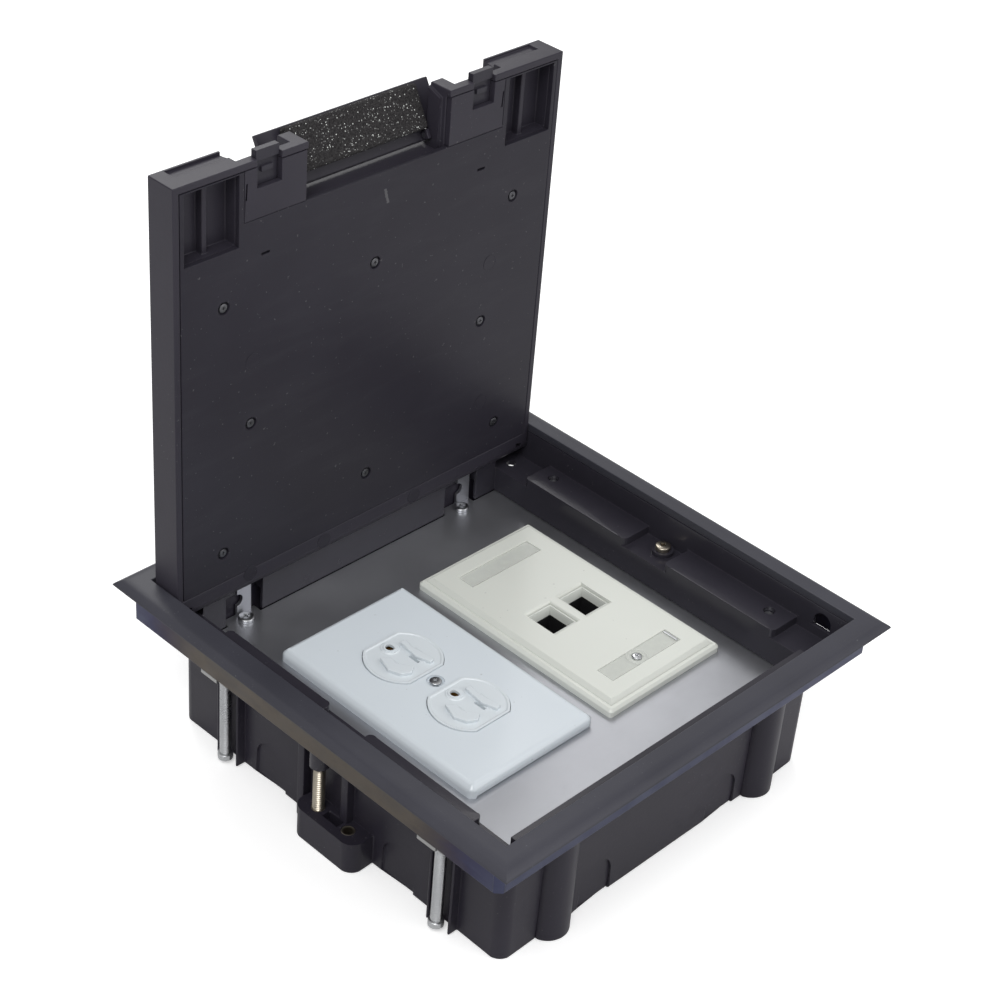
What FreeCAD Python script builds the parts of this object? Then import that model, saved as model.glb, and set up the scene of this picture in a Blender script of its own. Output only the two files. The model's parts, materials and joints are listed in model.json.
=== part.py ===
import FreeCAD, Part
import os
import re
import Sketcher

# Floor socket box: a moulded tray, a frame that telescopes in it on two levelling screws,
# a hinged lid with latches and a cable flap, and a metal plate that carries two wall plates.
# The base of the tray is at height 0. Width runs along X and the lid is hinged at +Y.

doc = FreeCAD.newDocument("FloorSocketBox")
sheet = doc.addObject("Spreadsheet::Sheet", "Sizes")
V = FreeCAD.Vector

sizes = {
    # trim frame
    "trimWidth": 228.4,
    "trimBand": 11.4,
    "trimBase": 71.0,
    "trimRise": 4.0,
    "trimEdge": 0.7,
    "trimFall": 0.3,
    "trimShoulder": 5.2,
    "trimBow": 1.3,
    # steel flange below the trim
    "flangeReachX": 5.2,
    "flangeReachY": 2.7,
    "flangeDepth": 14.0,
    "flangeSheet": 1.5,
    "flangeChamfer": 3.0,
    # frame moulding
    "frameWall": 2.0,
    "frameFloor": 2.5,
    "ledgeDepth": 11.2,
    "bayDrop": 4.0,
    "ledgeWidth": 16.4,
    "headWidth": 12.8,
    "skirtWall": 2.0,
    "skirtDepth": 10.0,
    "panelStart": 11.4,
    "panelEnd": 73.5,
    "panelShift": -1.9,
    "panelRound": 2.5,
    "bossDiameter": 10.0,
    "bossRise": 1.8,
    "collarDiameter": 8.4,
    "collarDrop": 15.5,
    "drainDiameter": 4.5,
    "drainInset": 2.0,
    "windowWidth": 9.0,
    "windowRise": 8.5,
    "windowLift": 0.6,
    "windowShift": 2.0,
    "strikeGap": 0.8,
    # tray
    "traySlack": 0.5,
    "trayBackSlack": 2.9,
    "trayWall": 2.6,
    "trayFloor": 2.6,
    "trayCorner": 6.0,
    "pillarSpacing": 125.0,
    "pillarDiameter": 19.0,
    "pillarStand": 6.5,
    "knockoutSpacing": 77.0,
    "knockoutWidth": 18.0,
    "knockoutRise": 20.0,
    "knockoutDepth": 1.0,
    "earLength": 36.0,
    "earReach": 12.0,
    "earHeight": 15.0,
    "earCorner": 6.0,
    "earPocket": 8.5,
    "insertDiameter": 6.0,
    "insertDepth": 8.0,
    "insertSpacing": 18.0,
    "pierWidth": 4.0,
    "pierStand": 4.0,
    "pierOffset": 13.0,
    "guideOffset": 6.0,
    "guideRib": 1.4,
    "guideStand": 4.2,
    "postSize": 12.0,
    "postPilot": 2.6,
    # fasteners
    "levelScrew": 4.2,
    "levelOffset": 4.0,
    "levelStand": 5.5,
    "levelFoot": 2.0,
    "clampScrew": 5.0,
    "clampStand": 5.0,
    "clampSpacing": 128.0,
    "clampShift": -1.0,
    "clampTip": 6.6,
    "clampFoot": 2.0,
    "clampTipRise": 2.5,
    "clampSink": 2.0,
    "screwHead": 7.0,
    "screwHeadRise": 2.2,
    "screwShank": 3.0,
    "screwLength": 9.0,
    "headGap": 0.4,
    "headSink": 1.2,
    "clawHeight": 7.0,
    "clawReach": 9.0,
    "clawWall": 1.6,
    "clawDrop": 2.0,
    "clawArm": 2.0,
    "runningFit": 0.1,
    "seatGap": 0.3,
    # device plate
    "plateTop": 43.0,
    "plateSheet": 1.5,
    "plateGap": 0.5,
    "portMargin": 3.0,
    "lugWidth": 18.0,
    "lugSpacing": 128.0,
    "tabWidth": 7.6,
    "tabSpacing": 130.3,
    "tabShift": 3.3,
    "tabRise": 15.5,
    "tabNotch": 3.0,
    # wall plates
    "duplexWidth": 69.85,
    "duplexLength": 114.3,
    "duplexX": -35.4,
    "duplexY": 2.6,
    "duplexRise": 5.6,
    "duplexEdge": 2.4,
    "duplexCorner": 3.0,
    "duplexInset": 3.2,
    "plateShell": 2.2,
    "faceDiameter": 34.4,
    "faceFlats": 28.6,
    "faceSpacing": 38.9,
    "faceProud": 0.6,
    "faceGap": 0.3,
    "groundOffset": 8.0,
    "groundBore": 4.9,
    "contactWall": 0.35,
    "contactLength": 2.4,
    "contactDepth": 1.8,
    "bladeReach": 6.3,
    "bladeSlot": 1.6,
    "bladeLength": 7.0,
    "bladeDepth": 3.0,
    "dataWidth": 69.0,
    "dataLength": 115.0,
    "dataX": 42.0,
    "dataY": 0.8,
    "dataRise": 6.0,
    "dataStep": 2.6,
    "dataLip": 2.2,
    "dataCorner": 2.0,
    "dataEdge": 1.2,
    "dataBevel": 1.8,
    "dataInset": 4.4,
    "portWidth": 15.0,
    "portLength": 16.6,
    "portSpacing": 20.2,
    "labelWidth": 42.6,
    "labelLength": 9.0,
    "labelOffset": 41.5,
    "labelDepth": 1.2,
    "coverSheet": 0.6,
    "coverSink": 0.2,
    "jackGap": 0.2,
    "jackSink": 1.6,
    "jackDepth": 24.0,
    "mouthHalf": 5.9,
    "mouthNarrow": 3.0,
    "mouthFront": 5.6,
    "mouthStep": 2.4,
    "mouthBack": 5.0,
    "mouthDepth": 14.0,
    "receptacleWidth": 33.0,
    "receptacleLength": 71.0,
    "receptacleDepth": 25.0,
    "strapWidth": 14.0,
    "strapInset": 5.15,
    "strapSheet": 1.3,
    "strapGap": 0.5,
    "yokeHole": 4.0,
    "yokeSpacing": 83.3,
    # lid
    "lidSideGap": 0.4,
    "lidThickness": 14.4,
    "lidSeatGap": 0.2,
    "lidRim": 3.0,
    "carpetDepth": 4.0,
    "lidWeb": 3.0,
    "linerSheet": 2.4,
    "linerGap": 0.2,
    "hingeInset": 10.8,
    "hingeRise": 5.6,
    "hingePin": 3.0,
    "hingeSeat": 14.0,
    "hingeEnd": 1.0,
    "slotInset": 1.0,
    "slotLength": 3.5,
    "slotWidth": 2.4,
    "pocketStart": 71.2,
    "pocketInset": 5.1,
    "pocketFront": 3.8,
    "pocketLength": 30.4,
    "pocketDepth": 8.2,
    "pocketRib": 2.4,
    "pocketRibRise": 3.7,
    "coverStart": 38.0,
    "coverEnd": 68.6,
    "coverLength": 21.4,
    "slitInset": 0.5,
    "slitWidth": 0.8,
    "slitLength": 7.0,
    "faceRecessEnd": 7.0,
    "faceRecess": 1.2,
    "flapHalf": 36.6,
    "wingHalf": 45.2,
    "flapLength": 23.7,
    "wingLength": 18.0,
    "flapSheet": 2.6,
    "flapGap": 0.6,
    "flapSwing": 2.9,
    "flapHeel": 1.2,
    "flapTilt": 28.8,
    "flapHingeDrop": 4.4,
    "flapHingeInset": 2.0,
    "flapPin": 2.4,
    "foamThickness": 5.6,
    "foamInset": 2.3,
    "foamStart": 0.5,
    "knuckleLength": 2.0,
    "latchX": 56.5,
    "latchWidth": 11.4,
    "latchSheet": 1.6,
    "latchThrow": 3.0,
    "latchTravel": 3.2,
    "tongueLength": 4.6,
    "tongueDrop": 1.2,
    "latchTail": 18.0,
    "notchWidth": 26.0,
    "notchDepth": 12.0,
    "gripRise": 7.0,
    "gripInset": 4.5,
    "gripLength": 3.0,
    "cheekSheet": 1.6,
    "cheekDrop": 4.4,
    "knuckle": 4.4,
    "springLength": 7.0,
    "springDiameter": 3.6,
    "springWire": 0.5,
}

# Named places worked out from the sizes above.
places = {
    "openHalf": "trimWidth / 2 - trimBand",
    "wallHalf": "openHalf + frameWall",
    "ledgeTop": "trimBase - ledgeDepth",
    "bayTop": "ledgeTop - bayDrop",
    "trayTop": "bayTop - frameFloor",
    "innerHalf": "openHalf - ledgeWidth",
    "innerBack": "openHalf - headWidth",
    "flangeHalf": "wallHalf + flangeReachX",
    "flangeFront": "wallHalf + flangeReachY",
    "trayHalf": "innerHalf + skirtWall + traySlack + trayWall",
    "trayBack": "innerBack + skirtWall + trayBackSlack + trayWall",
    "trayFront": "-innerBack - skirtWall - traySlack - trayWall",
    "trayShift": "(trayBack + trayFront) / 2",
    "trayInside": "trayHalf - trayWall",
    "trayInFront": "trayFront + trayWall",
    "trayInBack": "trayBack - trayWall",
    "levelReach": "trayHalf + levelStand",
    "clampReach": "trayHalf + clampStand",
    "strapLength": "duplexLength - 2 * strapInset",
    "contactTop": "plateTop + duplexRise + faceProud - contactDepth",
    "plateBase": "plateTop - plateSheet",
    "lidHalf": "openHalf - lidSideGap",
    "hingeY": "openHalf - hingeInset",
    "lidUnder": "ledgeTop + lidSeatGap",
    "lidTop": "lidUnder + lidThickness",
    "lidFront": "-lidHalf",
    "hingeZ": "lidUnder + hingeRise",
    "lidBack": "hingeY + hingeRise",
    "linerHalf": "lidHalf - lidRim - linerGap",
    "linerTop": "lidUnder + linerSheet",
    "linerBack": "lidBack - 2 * hingeRise - linerGap",
    "webBase": "lidTop - carpetDepth - lidWeb",
    "pocketTop": "lidUnder + pocketDepth",
    "springEnd": "latchBack + springLength + latchTravel",
    "flapHingeY": "lidFront + seatGap + flapLength - flapHingeInset",
    "flapHingeZ": "lidTop - flapHingeDrop",
    "flapOpen": "flapHalf + flapGap",
    "flapEnd": "lidFront + seatGap + flapLength + flapSwing",
    "latchBase": "linerTop + linerGap",
    "latchTop": "latchBase + latchSheet",
    "latchBack": "lidFront - latchThrow + latchTail + lidRim",
}


def bind(text):
    # Spells an expression out in cells of the sheet.
    def spell(match):
        word = match.group(0)
        if word in places:
            return "(" + bind(places[word]) + ")"
        if word in sizes:
            return "Sizes." + word
        return word
    return re.sub(r"[A-Za-z_]\w*", spell, text)


for row, (name, value) in enumerate(sizes.items(), 1):
    sheet.set("A%d" % row, name)
    sheet.set("B%d" % row, str(value))
    sheet.setAlias("B%d" % row, name)
doc.recompute()


def size(text):
    # Reads an expression as a number.
    value = sheet.evalExpression(bind(text))
    return float(getattr(value, "Value", value))


def newBody(label, several=False):
    body = doc.addObject("PartDesign::Body", label)
    body.Label = label
    body.AllowCompound = several
    return body


def newSketch(body, plane="XY", offset="0"):
    sketch = body.newObject("Sketcher::SketchObject", body.Label + "_sketch")
    origin = [item for item in body.Origin.OriginFeatures if item.Role == plane + "_Plane"]
    sketch.AttachmentSupport = (origin[0], [""])
    sketch.MapMode = "FlatFace"
    sketch.setExpression("AttachmentOffset.Base.z", bind(offset))
    return sketch


def place(sketch, geo, end, x, y):
    # Fixes one point of the sketch at the place that two expressions give.
    for kind, axis, text in (("DistanceX", -2, x), ("DistanceY", -1, y)):
        if abs(size(text)) < 1e-9:
            sketch.addConstraint(Sketcher.Constraint("PointOnObject", geo, end, axis))
        else:
            number = sketch.addConstraint(
                Sketcher.Constraint(kind, -1, 1, geo, end, size(text)))
            sketch.setExpression("Constraints[%d]" % number, bind(text))


def outline(sketch, points):
    # A closed outline. A third item in a point is the radius of the arc to the next point,
    # positive where the arc bulges to the right of the way the outline runs.
    first = sketch.GeometryCount
    spots = [V(size(p[0]), size(p[1]), 0) for p in points]
    count = len(points)
    for i in range(count):
        start, end = spots[i], spots[(i + 1) % count]
        if len(points[i]) == 2:
            sketch.addGeometry(Part.LineSegment(start, end))
            continue
        radius = size(points[i][2])
        chord = end - start
        side = V(chord.y, -chord.x, 0).normalize()
        sag = (radius * radius - chord.Length ** 2 / 4) ** 0.5
        sign = 1 if radius > 0 else -1
        centre = (start + end) * 0.5 - side * sag * sign
        middle = centre + side * abs(radius) * sign
        sketch.addGeometry(Part.Arc(start, middle, end))
    for i in range(count):
        here, after = first + i, first + (i + 1) % count
        flipHere = sketch.Geometry[here].TypeId == "Part::GeomArcOfCircle" and \
            (sketch.getPoint(here, 1) - spots[i]).Length > 1e-6
        flipNext = sketch.Geometry[after].TypeId == "Part::GeomArcOfCircle" and \
            (sketch.getPoint(after, 1) - spots[(i + 1) % count]).Length > 1e-6
        sketch.addConstraint(Sketcher.Constraint(
            "Coincident", here, 1 if flipHere else 2, after, 2 if flipNext else 1))
        place(sketch, here, 2 if flipHere else 1, points[i][0], points[i][1])
        if len(points[i]) == 3:
            number = sketch.addConstraint(
                Sketcher.Constraint("Radius", here, abs(size(points[i][2]))))
            sketch.setExpression("Constraints[%d]" % number, "abs(" + bind(points[i][2]) + ")")


def rect(sketch, left, front, right, back):
    outline(sketch, [(left, front), (right, front), (right, back), (left, back)])


def mirrored(sketch, left, front, right, back):
    rect(sketch, left, front, right, back)
    rect(sketch, "-(%s)" % right, front, "-(%s)" % left, back)


def circle(sketch, x, y, radius):
    geo = sketch.addGeometry(Part.Circle(V(size(x), size(y), 0), V(0, 0, 1), size(radius)))
    place(sketch, geo, 3, x, y)
    number = sketch.addConstraint(Sketcher.Constraint("Radius", geo, size(radius)))
    sketch.setExpression("Constraints[%d]" % number, bind(radius))


def pad(body, sketch, length, back=False):
    feature = body.newObject("PartDesign::Pad", body.Label + "_pad")
    feature.Profile = sketch
    feature.Reversed = back
    feature.setExpression("Length", bind(length))
    sketch.Visibility = False
    doc.recompute()
    return feature


def cut(body, sketch, length=None, back=False):
    # A pocket against the sketch's normal, or right through both ways with no length.
    feature = body.newObject("PartDesign::Pocket", body.Label + "_cut")
    feature.Profile = sketch
    feature.Reversed = back
    if length is None:
        feature.Type = "ThroughAll"
        feature.Midplane = True
    else:
        feature.setExpression("Length", bind(length))
    sketch.Visibility = False
    doc.recompute()
    return feature


def edges(body, test):
    return ["Edge%d" % n for n, e in enumerate(body.Shape.Edges, 1) if test(e)]


def soften(body, kind, test, amount):
    # Fillet or chamfer on the edges that the test picks.
    names = edges(body, test)
    feature = body.newObject("PartDesign::" + kind, body.Label + "_" + kind.lower())
    feature.Base = (body.Tip if body.Tip is not feature else feature.BaseFeature, names)
    feature.setExpression("Radius" if kind == "Fillet" else "Size", bind(amount))
    doc.recompute()
    return feature


def straight(edge, axis, *spots):
    # True for a straight edge along an axis whose middle has the given coordinates.
    if edge.Curve.TypeId != "Part::GeomLine":
        return False
    if abs(abs(edge.tangentAt(edge.FirstParameter).dot(axis)) - 1) > 1e-6:
        return False
    middle = edge.CenterOfMass
    found = {"x": middle.x, "y": middle.y, "z": middle.z}
    return all(abs(abs(found[name]) - abs(size(text))) < 0.01 for name, text in spots)


xAxis, yAxis, zAxis = V(1, 0, 0), V(0, 1, 0), V(0, 0, 1)

# The two levelling screws are set a half turn apart: the sign of each one's X, then of its Y.
sides = (("", "-"), ("-", ""))
clampRows = ("clampShift + clampSpacing / 2", "clampShift - clampSpacing / 2")


def trimFrame():
    # Mitred trim: one profile, thin outside and convex, carried round the opening.
    body = newBody("trim_frame")
    path = newSketch(body, "XY", "trimBase")
    outline(path, [("openHalf", "0"), ("openHalf", "openHalf"), ("-openHalf", "openHalf"),
                   ("-openHalf", "-openHalf"), ("openHalf", "-openHalf")])
    profile = newSketch(body, "XZ")
    outline(profile, [
        ("openHalf", "trimBase"),
        ("trimWidth / 2", "trimBase"),
        ("trimWidth / 2", "trimBase + trimEdge",
         "trimBow * sqrt((trimBand - trimShoulder)^2 + (trimRise - trimEdge)^2)"),
        ("openHalf + trimShoulder", "trimBase + trimRise - trimFall"),
        ("openHalf", "trimBase + trimRise")])
    pipe = body.newObject("PartDesign::AdditivePipe", "trim_pipe")
    pipe.Profile = profile
    pipe.Spine = (path, [])
    pipe.Transition = 1
    doc.recompute()


def supportFlange():
    # Pressed steel ring: a flat top under the trim and a lip turned down outside.
    body = newBody("support_flange")
    halfX, halfY = "flangeHalf", "flangeFront"
    ring = newSketch(body, "XY", "trimBase - flangeDepth")
    rect(ring, "-" + halfX, "-" + halfY, halfX, halfY)
    pad(body, ring, "flangeDepth")
    soften(body, "Chamfer", lambda e: straight(e, zAxis, ("x", halfX), ("y", halfY)), "flangeChamfer")
    hollow = newSketch(body, "XY", "trimBase - flangeDepth")
    insideX, insideY = halfX + " - flangeSheet", halfY + " - flangeSheet"
    rect(hollow, "-(%s)" % insideX, "-(%s)" % insideY, insideX, insideY)
    cut(body, hollow, "flangeDepth - flangeSheet", back=True)
    opening = newSketch(body, "XY", "trimBase")
    half = "wallHalf + runningFit * 2"
    rect(opening, "-(%s)" % half, "-(%s)" % half, half, half)
    cut(body, opening, "flangeSheet")


def frameMoulding():
    # Moulded frame: outer wall, floor, raised ledge panels, bays, and the skirt in the tray.
    body = newBody("frame_moulding")
    block = newSketch(body, "XY", "trayTop")
    rect(block, "-wallHalf", "-wallHalf", "wallHalf", "wallHalf")
    pad(body, block, "trimBase - trayTop")
    well = newSketch(body, "XY", "trimBase")
    rect(well, "-openHalf", "-openHalf", "openHalf", "openHalf")
    cut(body, well, "ledgeDepth + bayDrop")
    panels = newSketch(body, "XY", "bayTop")
    for sign in ("", "-"):
        inner, outer = sign + "(innerHalf - 1)", sign + "openHalf"
        rect(panels, inner, "panelShift + panelStart", outer, "panelShift + panelEnd")
        rect(panels, inner, "panelShift - panelEnd", outer, "panelShift - panelStart")
    rect(panels, "-innerHalf", "innerBack - 1", "innerHalf", "openHalf")
    rect(panels, "-innerHalf", "-openHalf", "innerHalf", "1 - innerBack")
    pad(body, panels, "bayDrop")
    skirt = newSketch(body, "XY", "trayTop")
    rect(skirt, "-innerHalf - skirtWall", "-innerBack - skirtWall",
         "innerHalf + skirtWall", "innerBack + skirtWall")
    pad(body, skirt, "skirtDepth", back=True)
    window = newSketch(body, "XY", "trimBase")
    rect(window, "-innerHalf", "-innerBack", "innerHalf", "innerBack")
    cut(body, window)
    recesses = newSketch(body, "XY", "trimBase")
    mirrored(recesses, "lugSpacing / 2 - lugWidth / 2 - 1", "innerBack - 1",
             "lugSpacing / 2 + lugWidth / 2 + 1", "trayInBack")
    cut(body, recesses)
    ends = ["panelShift %s %s" % (sign, spot) for sign in "+-" for spot in ("panelStart", "panelEnd")]
    soften(body, "Fillet", lambda e: e.CenterOfMass.z > size("bayTop") and any(
        straight(e, zAxis, ("x", "innerHalf"), ("y", spot)) for spot in ends), "panelRound")
    collars = newSketch(body, "XY", "trayTop")
    bosses = newSketch(body, "XY", "bayTop")
    for side, turn in sides:
        circle(collars, side + "levelReach", turn + "levelOffset", "collarDiameter / 2")
        circle(bosses, side + "levelReach", turn + "levelOffset", "bossDiameter / 2")
    pad(body, collars, "collarDrop", back=True)
    pad(body, bosses, "bossRise")
    holes = newSketch(body, "XY", "trimBase")
    for side, turn in sides:
        circle(holes, side + "levelReach", turn + "levelOffset", "levelScrew / 2 + runningFit")
        for row in clampRows:
            circle(holes, side + "clampReach", row, "clampScrew / 2 + runningFit")
        circle(holes, side + "(innerHalf + openHalf) / 2", "innerBack - drainInset", "drainDiameter / 2")
    cut(body, holes)
    arches = newSketch(body, "YZ")
    arch, middle = "windowWidth / 2", "windowShift - innerBack"
    outline(arches, [
        (middle + " - " + arch, "ledgeTop + windowLift"),
        (middle + " + " + arch, "ledgeTop + windowLift"),
        (middle + " + " + arch, "ledgeTop + windowRise - " + arch, arch + " + 0.001"),
        (middle + " - " + arch, "ledgeTop + windowRise - " + arch)])
    cut(body, arches)
    hinge = newSketch(body, "YZ")
    circle(hinge, "hingeY", "hingeZ", "hingePin / 2 + runningFit / 4")
    cut(body, hinge)
    strikes = newSketch(body, "XZ", "wallHalf")
    mirrored(strikes, "latchX - latchWidth / 2 - strikeGap", "latchBase - tongueDrop - strikeGap",
             "latchX + latchWidth / 2 + strikeGap", "latchTop + strikeGap")
    cut(body, strikes, "frameWall")


def trayFloor():
    # Floor of the tray, between its walls, with the four posts that carry the metal plate.
    body = newBody("tray_floor")
    floor = newSketch(body)
    rect(floor, "-trayInside", "trayInFront", "trayInside", "trayInBack")
    pad(body, floor, "trayFloor")
    posts = newSketch(body, "XY", "trayFloor")
    pilots = newSketch(body, "XY", "plateBase")
    for sign in ("", "-"):
        left, right = sign + "(lugSpacing / 2 - postSize / 2)", sign + "(lugSpacing / 2 + postSize / 2)"
        rect(posts, left, "trayInFront", right, "trayInFront + postSize")
        rect(posts, left, "trayInBack - postSize", right, "trayInBack")
        circle(pilots, sign + "lugSpacing / 2", "trayInFront + postSize / 2", "postPilot / 2")
        circle(pilots, sign + "lugSpacing / 2", "trayInBack - postSize / 2", "postPilot / 2")
    pad(body, posts, "plateBase - trayFloor")
    cut(body, pilots, "postSize")


def trayEnd(label, face, inside, way):
    # Front or back wall, with the rounded corners, two pillars and two knock-outs.
    body = newBody(label)
    depth = "(trayCorner + skirtWall)"
    wall = newSketch(body)
    rect(wall, "-trayHalf", face, "trayHalf", "%s %s %s" % (face, way, depth))
    pad(body, wall, "trayTop")
    soften(body, "Fillet", lambda e: straight(e, zAxis, ("x", "trayHalf"), ("y", face)), "trayCorner")
    pillars = newSketch(body)
    for sign in ("", "-"):
        circle(pillars, sign + "pillarSpacing / 2", "%s %s (pillarDiameter / 2 - pillarStand)" % (face, way),
               "pillarDiameter / 2")
    pad(body, pillars, "trayTop")
    hollow = newSketch(body)
    rect(hollow, "-trayInside", inside, "trayInside", "%s %s pillarDiameter" % (inside, way))
    cut(body, hollow)
    knockouts(body, "XZ", "-" + face, "0", back=way == "-")


def traySide(label, side, turn):
    # Side wall with its ear, piers, guide ribs and two knock-outs.
    body = newBody(label)
    inner, outer = side + "trayInside", side + "trayHalf"
    start, end = "trayFront + trayCorner + skirtWall", "trayBack - trayCorner - skirtWall"
    wall = newSketch(body)
    rect(wall, inner, start, outer, end)
    pad(body, wall, "trayTop")
    ribs = newSketch(body)
    ears = newSketch(body)
    root, stand = side + "(trayInside + trayWall / 2)", side + "(trayHalf + %s)"
    for offset in ("pierOffset", "-pierOffset"):
        pier = "%slevelOffset + %s" % (turn, offset)
        rect(ribs, root, pier + " - pierWidth / 2", stand % "pierStand", pier + " + pierWidth / 2")
    for row in clampRows:
        for offset in ("guideOffset", "-guideOffset"):
            rib = "%s + %s" % (row, offset)
            rect(ribs, root, rib + " - guideRib / 2", stand % "guideStand", rib + " + guideRib / 2")
    middle = turn + "(levelOffset - insertSpacing / 2)"
    rect(ears, root, middle + " - earLength / 2", stand % "earReach", middle + " + earLength / 2")
    pad(body, ribs, "trayTop")
    pad(body, ears, "earHeight")
    soften(body, "Fillet", lambda e: straight(e, zAxis, ("x", "trayHalf + earReach")), "earCorner")
    inserts = newSketch(body, "XY", "earHeight")
    slots = newSketch(body, "XY", "earHeight")
    drills = newSketch(body, "XY", "earHeight")
    rect(slots, side + "(levelReach - levelScrew / 2)", middle + " - earPocket / 2",
         side + "(levelReach + levelScrew / 2)", middle + " + earPocket / 2")
    circle(drills, side + "levelReach", turn + "levelOffset", "levelScrew / 2 + 3 * runningFit")
    for spot in ("levelOffset", "(levelOffset - insertSpacing)"):
        circle(inserts, side + "levelReach", turn + spot, "insertDiameter / 2")
    cut(body, inserts, "insertDepth")
    cut(body, slots, "earHeight / 2")
    cut(body, drills, "earHeight - 1")
    knockouts(body, "YZ", outer, "trayShift", back=side == "-")


def knockouts(body, plane, face, shift, back):
    # Two shallow arched knock-outs.
    half, rise = "knockoutWidth / 2", "knockoutRise - knockoutWidth / 2"
    shape = newSketch(body, plane, face)
    for sign in "+-":
        middle = "%s %s knockoutSpacing / 2" % (shift, sign)
        outline(shape, [
            ("%s - %s" % (middle, half), "0"), ("%s + %s" % (middle, half), "0"),
            ("%s + %s" % (middle, half), rise, half + " + 0.001"), ("%s - %s" % (middle, half), rise)])
    cut(body, shape, "knockoutDepth", back=back)


def devicePlate():
    # Galvanised sheet that carries the wall plates, with two lugs and upturned tabs behind.
    body = newBody("device_plate")
    half = "(trayInside - plateGap)"
    front, back = "(trayInFront + plateGap)", "innerBack"
    lugBack = "(trayInBack - plateGap)"
    lugs = newSketch(body, "XY", "plateBase")
    rect(lugs, "-" + half, front, half, back)
    pad(body, lugs, "plateSheet")
    ears = newSketch(body, "XY", "plateBase")
    mirrored(ears, "lugSpacing / 2 - lugWidth / 2", back + " - 2", "lugSpacing / 2 + lugWidth / 2", lugBack)
    pad(body, ears, "plateSheet")
    tabs = newSketch(body, "XY", "plateTop")
    for sign in ("", "-"):
        side = "tabShift + %stabSpacing / 2 - tabWidth / 2" % sign
        rect(tabs, side, lugBack + " - plateSheet", side + " + tabWidth", lugBack)
    pad(body, tabs, "tabRise")
    notches = newSketch(body, "XZ", "-" + lugBack)
    for sign in ("", "-"):
        circle(notches, "tabShift + %stabSpacing / 2 - tabWidth / 2" % sign,
               "plateTop + tabRise * 0.55", "tabNotch")
    cut(body, notches, "plateSheet * 1.5", back=True)
    openings = newSketch(body, "XY", "plateTop")
    box = "receptacleWidth / 2 + plateGap"
    rect(openings, "duplexX - (%s)" % box, "duplexY - receptacleLength / 2 - plateGap",
         "duplexX + " + box, "duplexY + receptacleLength / 2 + plateGap")
    ports = "(portSpacing / 2 + portWidth / 2 + portMargin)"
    rect(openings, "dataX - " + ports, "dataY - portLength / 2 - portMargin",
         "dataX + " + ports, "dataY + portLength / 2 + portMargin")
    for sign in ("+", "-"):
        circle(openings, "dataX", "dataY %s labelOffset" % sign, "screwShank / 2 + runningFit")
    for sign in ("", "-"):
        for spot in ("(trayInBack - postSize / 2)", "(trayInFront + postSize / 2)"):
            circle(openings, sign + "lugSpacing / 2", spot, "screwShank / 2 + runningFit")
    cut(body, openings)


def screwGroup(label, spots, base, head, rise, shank, length):
    # Identical screws in one node: heads above the base height, shanks below it.
    body = newBody(label, several=True)
    heads = newSketch(body, "XY", base)
    for x, y in spots:
        circle(heads, x, y, head + " / 2")
    pad(body, heads, rise)
    shanks = newSketch(body, "XY", base)
    for x, y in spots:
        circle(shanks, x, y, shank + " / 2")
    pad(body, shanks, length, back=True)
    top = size(base) + size(rise)
    soften(body, "Chamfer", lambda e: abs(e.BoundBox.ZMin - top) < 1e-4 and abs(e.BoundBox.ZMax - top) < 1e-4,
           "(%s) * 0.45" % rise)


def wallPlate(body, x, y, width, length, rise, corner):
    # Outer block of a wall plate, standing on the metal plate.
    base = newSketch(body, "XY", "plateTop")
    rect(base, "%s - %s / 2" % (x, width), "%s - %s / 2" % (y, length),
         "%s + %s / 2" % (x, width), "%s + %s / 2" % (y, length))
    pad(body, base, rise)
    soften(body, "Fillet", lambda e: e.Curve.TypeId == "Part::GeomLine" and
           abs(e.tangentAt(0).z) > 0.99, corner)


def hollowPlate(body, x, y, width, length, rise, inset):
    hollow = newSketch(body, "XY", "plateTop")
    halfX, halfY = "(%s / 2 - %s)" % (width, inset), "(%s / 2 - %s)" % (length, inset)
    rect(hollow, "%s - %s" % (x, halfX), "%s - %s" % (y, halfY), "%s + %s" % (x, halfX), "%s + %s" % (y, halfY))
    cut(body, hollow, "%s - plateShell" % rise, back=True)


def faceOutline(sketch, y, gap):
    # A round outlet face with a flat at each end.
    radius = "(faceDiameter / 2 - %s)" % gap
    flat = "(faceFlats / 2 - %s)" % gap
    chord = "sqrt(%s^2 - %s^2)" % (radius, flat)
    outline(sketch, [
        ("duplexX - " + chord, "%s - %s" % (y, flat)),
        ("duplexX + " + chord, "%s - %s" % (y, flat), radius),
        ("duplexX + " + chord, "%s + %s" % (y, flat)),
        ("duplexX - " + chord, "%s + %s" % (y, flat), radius)])


outlets = ("duplexY + faceSpacing / 2", "duplexY - faceSpacing / 2")


def duplexPlate():
    body = newBody("duplex_plate")
    wallPlate(body, "duplexX", "duplexY", "duplexWidth", "duplexLength", "duplexRise", "duplexCorner")
    top = size("plateTop + duplexRise")
    soften(body, "Chamfer", lambda e: abs(e.BoundBox.ZMin - top) < 1e-4, "duplexEdge")
    hollowPlate(body, "duplexX", "duplexY", "duplexWidth", "duplexLength", "duplexRise", "duplexInset")
    faces = newSketch(body, "XY", "plateTop + duplexRise")
    for y in outlets:
        faceOutline(faces, y, "0")
    circle(faces, "duplexX", "duplexY", "screwShank / 2 + runningFit")
    cut(body, faces)
    dimple = newSketch(body, "XY", "plateTop + duplexRise")
    circle(dimple, "duplexX", "duplexY", "screwHead / 2 + headGap")
    cut(body, dimple, "headSink")


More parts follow.
